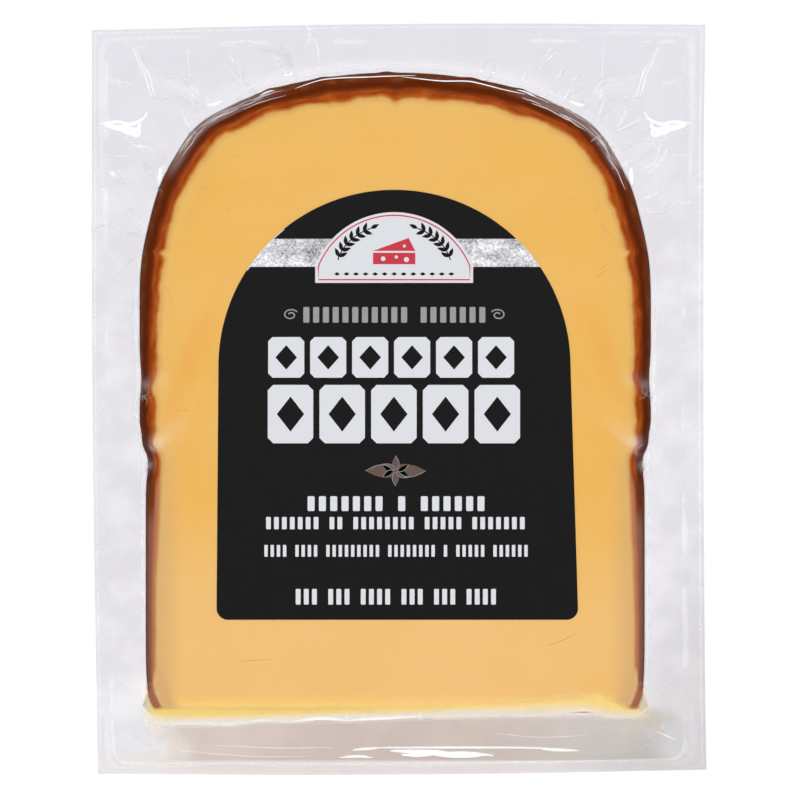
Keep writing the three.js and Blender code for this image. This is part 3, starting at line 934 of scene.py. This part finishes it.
def make_cheese():
    place = places_round_slab(CHEESE_STATIONS)
    rings, offset = slab_rings(place, FILM_GAP, FACE_SHARES, CHEESE_EDGE_STEPS)
    back_z = BACK_FILM_Z + FILM_GAP
    wall_top, wall_foot = FRONT_Z - FILM_GAP - place.edge_drop, back_z + CHEESE_BACK_ROUNDING
    for share in CHEESE_WALL_SHARES:
        rings.append(ring(offset(foot_spread(place, share)), lerp(wall_top, wall_foot, share)))
    spread = foot_spread(place, 1)
    for turn in np.radians((30, 60, 90)):
        inset = CHEESE_BACK_ROUNDING * (1 - math.cos(turn))
        height = back_z + CHEESE_BACK_ROUNDING * (1 - math.sin(turn))
        rings.append(ring(offset(spread - inset), height))
    rings.append(ring(lerp(SLAB_CENTRE, offset(spread - CHEESE_BACK_ROUNDING), 0.5), back_z))

    stack = np.array(rings)
    from_middle = np.concatenate([np.zeros((1, stack.shape[1])), np.cumsum(step_lengths(stack), axis=0)])
    rind_mm = from_middle - from_middle[len(FACE_SHARES)]
    low_corner = place.corner * (stack[..., 2] < FRONT_Z - EDGE_DROP_RIND)
    cut = np.minimum(smoothstep(place.base, 0.3, 0.6) + low_corner, 1)
    base_edge = smoothstep(place.base, 0.3, 0.8) * bell(rind_mm, 0.4, 1.6)
    rind_mm += rind_notches(place) - RIND_OFF_BASE * cut
    along = step_lengths(np.vstack([place.outline[-1:], place.outline])).cumsum()
    along = np.broadcast_to(along, rind_mm.shape)

    first, last = (*SLAB_CENTRE, FRONT_Z - FILM_GAP), (*SLAB_CENTRE, back_z)
    mesh = skin_rings("cheese", rings, first, last)
    for name, values, ends in (
        ("rind_mm", rind_mm, FACE_RIND_MM), ("along_mm", along, 0), ("base_edge", base_edge, 0),
    ):
        add_attribute(mesh, name, [ends, *values.ravel(), ends])
    return add_piece(mesh, cheese_material(), "cheese")


# ---- The film ----


def film_wall_rings(place, offset):
    """From the slab's widest outline down the web to the flange."""
    top = FRONT_Z - place.edge_drop
    for share in FILM_WALL_SHARES:
        over_cheese = foot_spread(place, share) + (FILM_GAP if share < FILM_FOOT_SHARE else 0)
        point = offset(np.maximum(place.web_run * share**place.web_shape, over_cheese))
        yield ring(point, lerp(top, FLANGE_Z + corner_lift(point), share))


def film_flange_rings(place, offset):
    """From the foot of the web out to the cut edge, over the line of the pocket's mouth."""
    out = unit(place.edge - place.pocket)
    before_line, after_line = (place.pocket + out * POCKET_LINE[end][0] for end in (0, -1))
    for share in FLANGE_SHARES:
        point = lerp(offset(place.web_run), before_line, share)
        yield ring(point, FLANGE_Z + corner_lift(point))
    plain = lerp(0.05, 1, smoothstep(place.pocket[:, 1], *POCKET_LINE_Y))
    for across, up in POCKET_LINE:
        point = place.pocket + out * across
        yield ring(point, FLANGE_Z + up * plain + corner_lift(point))
    for share in SEAL_SHARES:
        point = lerp(after_line, place.edge, share)
        yield ring(point, SEAL_Z + corner_lift(point))


def film_back_rings(place, offset):
    """The flat back film, from the cut edge in."""
    foot = offset(place.web_run)
    for point in (place.edge, *(lerp(place.pocket, foot, share) for share in BACK_SHARES)):
        yield ring(point, BACK_FILM_Z + corner_lift(point))
    yield ring(foot, BACK_FILM_Z)
    yield ring(lerp(SLAB_CENTRE, place.outline, 0.6), BACK_FILM_Z)


def make_film():
    place = places_round_slab(FILM_STATIONS)
    rings, offset = slab_rings(place, 0, FILM_FACE_SHARES, FILM_EDGE_STEPS)
    slab_levels = len(rings)
    rings += film_wall_rings(place, offset)
    flange_level = len(rings) - 2
    rings += film_flange_rings(place, offset)

    front = np.array(rings)
    levels = np.arange(len(front))[:, None]
    seal_level = len(front) - len(SEAL_SHARES) - 1
    seal = 1.0 * (levels >= seal_level)
    loose = smoothstep(levels, flange_level, flange_level + 6) * (1 - seal)
    on_edge = smoothstep(levels, len(FILM_FACE_SHARES), len(FILM_FACE_SHARES) + 3)
    relief = film_relief(front[..., 0], front[..., 1], loose) * on_edge
    relief[-1] *= CUT_EDGE_RELIEF
    front = front + surface_normals(front) * relief[..., None]
    front[..., 2] = np.maximum(front[..., 2], BACK_FILM_Z + FILM_ROOM + corner_lift(front))

    x, y = front[..., 0], front[..., 1]
    cream, butter, hook = cream_smears(x, y)
    pocket_line = bell(levels, seal_level - 2, 1) * smoothstep(y, *POCKET_LINE_Y)
    marks = {
        "seal": seal,
        "web": smoothstep(levels, slab_levels - 4, slab_levels) * web_shade(x, y),
        "cream": cream,
        "butter": butter,
        "hook": hook,
        "haze_and_sheen": film_haze_and_sheen(x, y) + wall_glare(levels, slab_levels, flange_level, place) + pocket_line,
        "cover": levels < slab_levels,
        "tight": smoothstep(levels, flange_level + 4, flange_level),
    }
    back = list(film_back_rings(place, offset))
    first, last = (*SLAB_CENTRE, FRONT_Z), (*SLAB_CENTRE, BACK_FILM_Z)
    mesh = skin_rings("clear_film", [*front, *back], first, last)
    blank = np.zeros(len(back) * front.shape[1])
    for name, values in marks.items():
        add_attribute(mesh, name, [0, *np.broadcast_to(values, x.shape).ravel(), *blank, 0])
    film = add_piece(mesh, film_material(), "clear_film")
    film.visible_shadow = False  # clear as it is, it would only grey the floor and the cheese
    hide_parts("vacuum_pack")
    return film


def web_shade(x, y):
    """Where the film is tinted grey pink under the slab's base: painted shade of the hollow under the
    base, with the pink of light thrown back from the cheese.
    """
    under = smoothstep(y, WEB_TOP_Y + 1.5, WEB_TOP_Y - 1.5)
    above_seal = 1 - 0.75 * smoothstep(y, WEB_FOOT_Y + 0.2, WEB_FOOT_Y - 0.4)
    ragged = x + WEB_RAGGED * ripple(x, y, 9, WEB_RAGGED_SEED)
    left, right = (smoothstep(ragged, *ends) for ends in (
        (WEB_LEFT - 5, WEB_LEFT + 4), (WEB_RIGHT + 4, WEB_RIGHT - 5),
    ))
    return under * above_seal * left * right


def cream_smears(x, y):
    """How much cheese is smeared under the film, how yellow it is there, and where it is brown rind."""
    line, foot, yellow = (np.interp(x, *zip(*way)) for way in (BASE_LINE, FACE_FOOT, YELLOW_FOOT))
    off_middle = abs(x - MIRROR_X)
    strip = smoothstep(foot - y, -0.5, 1.2) * smoothstep(line - y, 0.9, -0.3)
    cream = STRIP_CREAM * strip * smoothstep(off_middle, *STRIP_END)
    butter = smoothstep(yellow - y, lerp(1.8, 4, smoothstep(x, 10, 40)), -0.8)
    mottle = 0.85 + 0.15 * ripple(x, y, 3.2, SMEAR_SEED)
    for *place, strength in SMEARS:
        smear = strength * spot(x, y, *place) * mottle
        butter = np.where(smear > cream, SMEAR_BUTTER, butter)
        cream = np.maximum(cream, smear)
    out, down = beside_hook(x, y)
    corner = smoothstep(out, 1.1, 1.9) * smoothstep(down, 0.4, 2.4) * smoothstep(y, *CORNER_FOOT_Y)
    corner = CORNER_CREAM * corner * smoothstep(off_middle, *CORNER_END)
    butter = np.where(corner > cream, CORNER_BUTTER, butter)
    brown = smoothstep(HOOK_HALF_WIDTH + HOOK_SWELL * down - abs(out), -0.5, 0.3)
    brown = brown * smoothstep(down, HOOK_LENGTH + 0.8, HOOK_LENGTH - 0.6)
    hook = HOOK_CREAM * brown * smoothstep(down, -0.4, 2.8)
    return np.maximum.reduce([cream, corner, hook]), butter, brown


def wall_glare(levels, slab_levels, flange_level, place):
    """Painted glare: the drawn film is made whitish where it comes down over the top of the arch."""
    on_top = smoothstep(place.normal[:, 1], 0.8, 0.97)
    on_wall = smoothstep(levels, slab_levels + 7, flange_level - 1)
    return WALL_GLARE * on_wall * smoothstep(levels, flange_level + 13, flange_level) * on_top


def film_haze_and_sheen(x, y):
    """How whitish the film is in its small cloudy places; at its soft folds and at the shoulders the
    white is a painted highlight and a painted reflection.
    """
    haze_and_sheen = np.zeros_like(x)
    for left, spot_y, half_x, half_y, strength in HAZE_SPOTS:
        for centre in (left, 2 * MIRROR_X - left):
            haze_and_sheen += strength * spot(x, y, centre, spot_y, half_x, half_y)
    for points, half_width, strength in SOFT_FOLD_SHEENS:
        for line in (points, mirrored(points)):
            haze_and_sheen += crease_height(x, y, line, strength, half_width)
    side, up = abs(x - SLAB_CENTRE[0]), y - SLAB_CENTRE[1]
    turn = np.degrees(np.arctan2(up, side))
    start, end = SHOULDER_TURN
    on_turn = smoothstep(turn, start - 2, start + 5) * smoothstep(turn, end + 4, end - 12)
    edge = slab_outline(np.radians(np.clip(turn, 0, 90))) - SLAB_CENTRE
    inset = np.linalg.norm(edge, axis=-1) - np.hypot(side, up)
    # Painted reflection: the film is whitened over the outer part of the shoulders' rind.
    haze_and_sheen += SHOULDER_SHEEN * on_turn * smoothstep(inset, 0, 0.5) * smoothstep(inset, 3.2, 2.4)
    return np.clip(haze_and_sheen, 0, 1)


# ---- Slender ridges for creases and marks ----


def surface_of(piece):
    mesh = piece.data
    return BVHTree.FromPolygons([v.co for v in mesh.vertices], [p.vertices for p in mesh.polygons])


def height_under(surface, point):
    """The height of a surface, a tree in metres, at a place of the plane."""
    hit = surface.ray_cast((*(point * MM), 1), (0, 0, -1))[0]
    return hit.z / MM if hit else FLANGE_Z


def resampled(points):
    line = smooth_line(points)
    lengths = np.concatenate([[0], step_lengths(line).cumsum()])
    at = np.linspace(0, lengths[-1], max(4, round(lengths[-1] / CREASE_STEP)) + 1)
    return np.stack([np.interp(at, lengths, line[:, axis]) for axis in (0, 1)], axis=-1)


def crease_tube(surface, points, height, half_width):
    """A slender closed ridge laid along a line on a surface: its points and faces."""
    line = resampled(points)
    aside = turned_left(unit(np.gradient(line, axis=0)))
    taper = np.sin(np.pi * np.linspace(0.03, 0.97, len(line)))[:, None] ** 0.5
    across, up = direction(np.linspace(0, 2 * math.pi, CREASE_SIDES, endpoint=False)).T
    rise = np.where(up > 0, (1 - across**2) ** 2 * height + CREASE_LEAST, up * CREASE_DEPTH)
    plane = line[:, None] + aside[:, None] * (taper * across * half_width)[..., None]
    ground = [height_under(surface, point) for point in plane.reshape(-1, 2)]
    tube = np.dstack([plane, np.reshape(ground, (len(line), -1)) + rise * taper])
    index = np.arange(len(line) * CREASE_SIDES).reshape(len(line), -1)
    return tube.reshape(-1, 3), [*tube_faces(index), index[0].tolist(), index[-1][::-1].tolist()]


def ridges(name, surface, creases, material, slot):
    """One piece of many slender ridges laid on a surface, each with its whiteness, a painted glint."""
    points, faces, white = [], [], []
    for line, height, half_width, glint_whiteness in creases:
        tube, faces_of_tube = crease_tube(surface, line, height, half_width)
        faces += [[len(points) + i for i in face] for face in faces_of_tube]
        points += tube.tolist()
        white += [glint_whiteness] * len(tube)
    upper_side = np.arange(CREASE_SIDES) <= CREASE_SIDES / 2
    mesh = new_mesh(name, points, faces)
    add_attribute(mesh, "white", white)
    add_attribute(mesh, "outer", np.tile(upper_side, len(points) // CREASE_SIDES))
    return add_piece(mesh, material, slot)


def make_creases(film):
    creases = [
        (line, *sizes) for points, *sizes in SIDE_CREASES for line in (points, mirrored(points))
    ]
    creases += [*SINGLE_CREASES, *stray_creases(), *shoulder_streaks(), *pucker_rays()]
    piece = ridges("film_creases", surface_of(film), creases, crease_material(), "clear_film")
    piece.visible_shadow = False


def make_face_marks(cheese):
    marks = [(line, 0.04, 0.09, 0) for line in FACE_MARKS]
    ridges("face_marks", surface_of(cheese), marks, mark_material(), "cheese")


# ---- The label and its print ----

# Lines of the label: bottom, top, left, right, how many blocks each word has, and how full they are.
WHITE_LINES = (
    (5.1, 14.7, -30.9, 27.2, (6,), 0.86),
    (-10.4, 3.4, -31, 28.6, (5,), 0.88),
    (-26.4, -22.9, -21.6, 20.2, (7, 1, 6), 0.62),
    (-30.7, -27.8, -31.4, 29.7, (7, 2, 8, 5, 7), 0.6),
    (-37.2, -34.4, -31.8, 30.4, (4, 4, 9, 8, 1, 5, 6), 0.55),
    (-48.5, -44.8, -24.4, 22.9, (3, 3, 4, 3, 3, 4), 0.6),
)
LARGE_BLOCKS = 11  # those of the first two lines, which have lozenges in them
GREY_LINE = (18.1, 21.8, -22.6, 20.4, (11, 7), 0.62)
EDGE_LINE_TURN = (129, 147)  # where the paper's white edge shows on the arch, in degrees
EDGE_LINE_INSET, EDGE_LINE_WIDTH = 0.13, 0.2
SILVER_BAND = (31.3, 37.9)
BADGE_X = -1.14
BADGE_FOOT, BADGE_SHOULDER, BADGE_TOP, BADGE_HALF = 27.5, 31.6, 44.2, 18.65
BADGE_KEYLINE_INSET, BADGE_KEYLINE_WIDTH = 0.75, 0.3
WEDGE_CENTRE = (BADGE_X, BADGE_FOOT + 7.4)
WEDGE_HOLES = ((-2.6, -1.7, 0.55), (0.5, -1.3, 0.4), (2.9, -1.9, 0.6), (2.4, 1.3, 0.35))
BEADS_Y, BEAD_REACH = BADGE_FOOT + 2.1, (0.75, 0.42)
SPRIG_RADIUS, SPRIG_SPREAD, SPRIG_RISE, STEM_WIDTH = 10.6, 1.28, 3.2, 0.28
LEAF_LENGTH, LEAF_WIDTH, LEAF_LEAN = 2.3, 0.95, 0.75
ROSETTE_CENTRE, ROSETTE_REACH = np.array([-0.8, -16.9]), np.array([7.2, 3.6])
LOZENGE = np.array([(1, 0), (0, 1), (-1, 0), (0, -1)])


def arc(centre, radius, start, end, steps):
    """Points of a circular arc, with its angles in degrees."""
    return np.array(centre) + radius * direction(np.radians(np.linspace(start, end, steps)))


def label_outline():
    foot_y = LABEL_ARCH_RADIUS - LABEL_HEIGHT + LABEL_CORNER_RADIUS
    corner_x = LABEL_FOOT_WIDTH / 2 - LABEL_CORNER_RADIUS
    return LABEL_ARCH_CENTRE + np.concatenate([
        arc((0, 0), LABEL_ARCH_RADIUS, 0, 180, 120),
        arc((LABEL_FOOT_SHIFT - corner_x, foot_y), LABEL_CORNER_RADIUS, 180, 270, 14),
        arc((LABEL_FOOT_SHIFT + corner_x, foot_y), LABEL_CORNER_RADIUS, 270, 360, 14),
    ])


def plates(name, outlines, low, high, material, slot):
    """One piece of flat plates, each with its own outline in the plane of the label."""
    points, faces = [], []
    for outline in outlines:
        count, first = len(outline), len(points)
        points += [(x, y, z) for z in (low, high) for x, y in outline]
        foot = list(range(first, first + count))
        faces += [[i + count for i in foot], foot[::-1]]
        faces += [[i, j, j + count, i + count] for i, j in zip(foot, foot[1:] + foot[:1])]
    return add_piece(new_mesh(name, points, faces, smooth=False), material, slot)


def ribbon(line, width, closed=False):
    """Outlines of a narrow band along a line: one short quadrilateral for each step."""
    line = np.asarray(line, float)
    ahead, behind = np.roll(line, -1, axis=0), np.roll(line, 1, axis=0)
    if not closed:
        ahead[-1], behind[0] = line[-1], line[0]
    aside = turned_left(unit(ahead - behind)) * width / 2
    left, right = line + aside, line - aside
    after = [*range(1, len(line)), 0]
    quads = list(np.stack([right, right[after], left[after], left], axis=1))
    return quads if closed else quads[:-1]


def block(centre, width, height):
    """A rectangle with its corners cut off."""
    w, h, cut = width / 2, height / 2, 0.12 * min(width, height)
    corners = [
        (-w + cut, -h), (w - cut, -h), (w, -h + cut), (w, h - cut),
        (w - cut, h), (-w + cut, h), (-w, h - cut), (-w, -h + cut),
    ]
    return np.array(corners) + np.array(centre)


def block_line(low, high, left, right, words, fill):
    """A line of plain blocks that stands where the label has words: one block for each letter."""
    cells = sum(words) + len(words) - 1
    cell = (right - left) / (cells - (1 - fill))
    starts = np.cumsum([0, *words]) + np.arange(len(words) + 1)
    places = [start + i for start, word in zip(starts, words) for i in range(word)]
    middle = (low + high) / 2
    return [block((left + cell * (i + fill / 2), middle), cell * fill, high - low) for i in places]


def block_hearts(blocks):
    """A lozenge in the middle of each block."""
    return [outline.mean(axis=0) + LOZENGE * np.ptp(outline, axis=0) * 0.3 for outline in blocks]


def silver_band():
    """The band across the arch, cut off by the label's round edge."""
    y = np.linspace(*SILVER_BAND, 9) - LABEL_ARCH_CENTRE[1]
    x = np.sqrt(LABEL_ARCH_RADIUS**2 - y**2)
    right, left = np.column_stack([x, y]), np.column_stack([-x, y])[::-1]
    return [np.concatenate([right, left]) + LABEL_ARCH_CENTRE]


def badge_outline(inset=0):
    """A plaque with a straight foot and a round top."""
    rise = BADGE_TOP - BADGE_SHOULDER
    radius = (BADGE_HALF**2 + rise**2) / (2 * rise)
    turn = math.degrees(math.asin(BADGE_HALF / radius))
    left, right = BADGE_X - BADGE_HALF + inset, BADGE_X + BADGE_HALF - inset
    top = arc((BADGE_X, BADGE_TOP - radius), radius - inset, 90 - turn, 90 + turn, 48)
    top[:, 0] = np.clip(top[:, 0], left, right)
    return np.concatenate([top, [(left, BADGE_FOOT + inset), (right, BADGE_FOOT + inset)]])


def leaf(start, turn, length, width):
    """A pointed leaf from its stalk's end outwards."""
    along = np.linspace(0, 1, 9)
    swell = np.sin(np.pi * along**0.8) * width / 2
    under, over = np.column_stack([along * length, -swell]), np.column_stack([along * length, swell])
    c, s = math.cos(turn), math.sin(turn)
    return np.concatenate([under, over[-2:0:-1]]) @ np.array([[c, s], [-s, c]]) + np.array(start)


def badge_sprigs():
    """Two sprigs of leaves that follow the plaque's round top."""
    outlines = []
    for side in (1, -1):
        stem = arc((BADGE_X, BADGE_FOOT + SPRIG_RISE), SPRIG_RADIUS, 12, 66, 14)
        stem[:, 0] = BADGE_X + side * (stem[:, 0] - BADGE_X) * SPRIG_SPREAD
        outlines += ribbon(stem, STEM_WIDTH)
        for i in range(1, len(stem) - 1, 2):
            run = stem[i + 1] - stem[i - 1]
            turn = math.atan2(run[1], run[0])
            for lean in (LEAF_LEAN, -LEAF_LEAN):
                outlines.append(leaf(stem[i], turn + lean, LEAF_LENGTH, LEAF_WIDTH))
        outlines.append(leaf(stem[-1], turn, 2.2, LEAF_WIDTH))
    return outlines


def badge_wedge():
    """A plain wedge of cheese: its cut side and its top."""
    side = np.array([(-5, -3), (5, -3), (5, -0.3), (-5, -0.3)]) + WEDGE_CENTRE
    top = np.array([(-5, 0.15), (5, 0.15), (3.4, 3.2)]) + WEDGE_CENTRE
    return [side, top]


def badge_wedge_holes():
    x, y = WEDGE_CENTRE
    return [arc((x + dx, y + dy), radius, 0, 337.5, 16) for dx, dy, radius in WEDGE_HOLES]


def badge_beads():
    """A row of small lozenges along the plaque's foot."""
    places = BADGE_X + np.linspace(-13.5, 13.5, 13)
    return [(x, BEADS_Y) + LOZENGE * BEAD_REACH for x in places]


def curl(x, side):
    """A small spiral flourish beside the grey line."""
    t = np.linspace(0, 1, 26)
    turns, start, stretch = 1.35, 0.4, 1.35
    spiral = lerp(0.35, 1.35, t)[:, None] * direction(2 * math.pi * turns * t + start)
    middle = (GREY_LINE[0] + GREY_LINE[1]) / 2
    return ribbon(spiral * (side * stretch, 1) + (x, middle), 0.3)


def rosette_petals():
    """Eight pointed petals in a lozenge, and a fine line along one edge of each."""
    petals, lines = [], []
    for i in range(8):
        tip = direction(math.pi / 4 * i) * ROSETTE_REACH * (0.62 if i % 2 else 1)
        length = np.linalg.norm(tip)
        petal = leaf((0, 0), math.atan2(tip[1], tip[0]), length, 0.36 * length + 0.5)
        petals.append(petal * 0.93 + tip * 0.06 + ROSETTE_CENTRE)
        lines += ribbon(petals[-1][:9], 0.13)
    return petals, lines


def make_label():
    base = FRONT_Z + LABEL_LIFT
    top = base + LABEL_THICKNESS
    black = print_material("black_print", srgb(22, 21, 22), 0.42, 0.12)
    white = print_material("white_print", srgb(214, 216, 221), mottle=0.06)
    grey = print_material("grey_print", srgb(150, 150, 153))
    red = print_material("red_print", srgb(196, 58, 72))
    bronze = print_material("bronze_print", srgb(104, 86, 80), 0.4, 0.5, 0.3)
    label = plates("label_paper", [label_outline()], base, top, black, "label_black")
    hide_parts("label")
    petals, petal_lines = rosette_petals()
    flourishes = curl(GREY_LINE[2] - 3, -1) + curl(GREY_LINE[3] + 3, 1)
    words = [shape for line in WHITE_LINES for shape in block_line(*line)]
    keyline = ribbon(badge_outline(BADGE_KEYLINE_INSET), BADGE_KEYLINE_WIDTH, closed=True)
    edge = arc(LABEL_ARCH_CENTRE, LABEL_ARCH_RADIUS - EDGE_LINE_INSET, *EDGE_LINE_TURN, 16)
    for name, outlines, level, material, slot in (
        ("print_edge_line", ribbon(edge, EDGE_LINE_WIDTH), 1, white, "label_white"),
        ("print_silver_band", silver_band(), 0, glitter_material(), "label_silver"),
        ("print_white_blocks", words, 0, white, "label_white"),
        ("print_grey_blocks", block_line(*GREY_LINE) + flourishes, 0, grey, "label_silver"),
        ("print_rosette", petals, 0, bronze, "label_bronze"),
        ("print_rosette_lines", petal_lines, 1, grey, "label_silver"),
        ("print_block_hearts", block_hearts(words[:LARGE_BLOCKS]), 1, black, "label_black"),
        ("print_badge", [badge_outline()], 1, white, "label_white"),
        ("print_badge_red", keyline + badge_wedge(), 2, red, "label_red"),
        ("print_badge_leaves", badge_sprigs() + badge_beads(), 2, black, "label_black"),
        ("print_badge_holes", badge_wedge_holes(), 3, white, "label_white"),
    ):
        plates(name, outlines, top + INK * level, top + INK * (level + 1), material, slot)


# ---- Floor, light and camera, in metres ----

CAMERA_HEIGHT = 1.231  # over the floor
CAMERA_AIM = (0.00024, -0.00017)  # the photograph's middle lies just beside the pack's
PICTURE_WIDTH = 0.1939  # how much of the floor the picture is wide
FLOOR_HALF = 3
OVERHEAD_POWER = 156
GLINT_RADIANCE = 5
WORLD_STRENGTH = 0.1
GLINT_BOXES = (  # name, place, size
    ("softbox_left", (-0.85, 0.2, 1.15), (1.5, 0.7)),
    ("softbox_right", (0.85, 0.2, 1.15), (1.5, 0.7)),
    ("softbox_top", (0, 0.9, 1.1), (1.2, 0.5)),
    ("softbox_bottom", (0, -0.9, 1), (1.2, 0.4)),
)


def make_floor():
    half = FLOOR_HALF / MM
    corners = [(-half, -half, 0), (half, -half, 0), (half, half, 0), (-half, half, 0)]
    mesh = new_mesh("floor", corners, [(0, 1, 2, 3)], smooth=False)
    mesh.materials.append(floor_material())
    floor = add_object("floor", mesh)
    floor.visible_glossy = False  # the film's steep sides would mirror it as a grey veil
    floor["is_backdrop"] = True


def add_softbox(name, place, size, power):
    """A rectangular light that looks at the middle of the pack."""
    light = bpy.data.lights.new(name, "AREA")
    light.shape = "RECTANGLE"
    light.size, light.size_y = size
    light.energy = power
    lamp = add_object(name, light)
    lamp.location = place
    back = np.array(place) / np.linalg.norm(place)
    lamp.rotation_euler = (math.acos(back[2]), 0, math.atan2(back[1], back[0]) + math.pi / 2)
    lamp.visible_camera = False
    return lamp


def make_lights():
    overhead = add_softbox("softbox_overhead", (0, 0, 4), (0.3, 0.3), OVERHEAD_POWER)
    overhead.visible_glossy = False  # the flat film and the label don't mirror it
    for name, place, size in GLINT_BOXES:
        box = add_softbox(name, place, size, GLINT_RADIANCE * math.pi * size[0] * size[1])
        box.visible_diffuse = False  # it only shows as a glint in the film's creases
    world = bpy.data.worlds.new("studio")
    world.use_nodes = True
    background = world.node_tree.nodes["Background"]
    background.inputs["Color"].default_value = (1, 1, 1, 1)
    background.inputs["Strength"].default_value = WORLD_STRENGTH
    bpy.context.scene.world = world
    bpy.context.scene.view_settings.view_transform = "Standard"


def make_camera():
    camera = bpy.data.cameras.new("camera")
    camera.lens = camera.sensor_width * CAMERA_HEIGHT / PICTURE_WIDTH
    holder = add_object("camera", camera)
    holder.location = (*CAMERA_AIM, CAMERA_HEIGHT)
    bpy.context.scene.camera = holder


cheese = make_cheese()
make_face_marks(cheese)
film = make_film()
make_creases(film)
make_label()
make_floor()
make_lights()
make_camera()

({name: [list(corner) for corner in box] for name, box in
           (("cad", cad_bounds), ("visual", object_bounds()))})
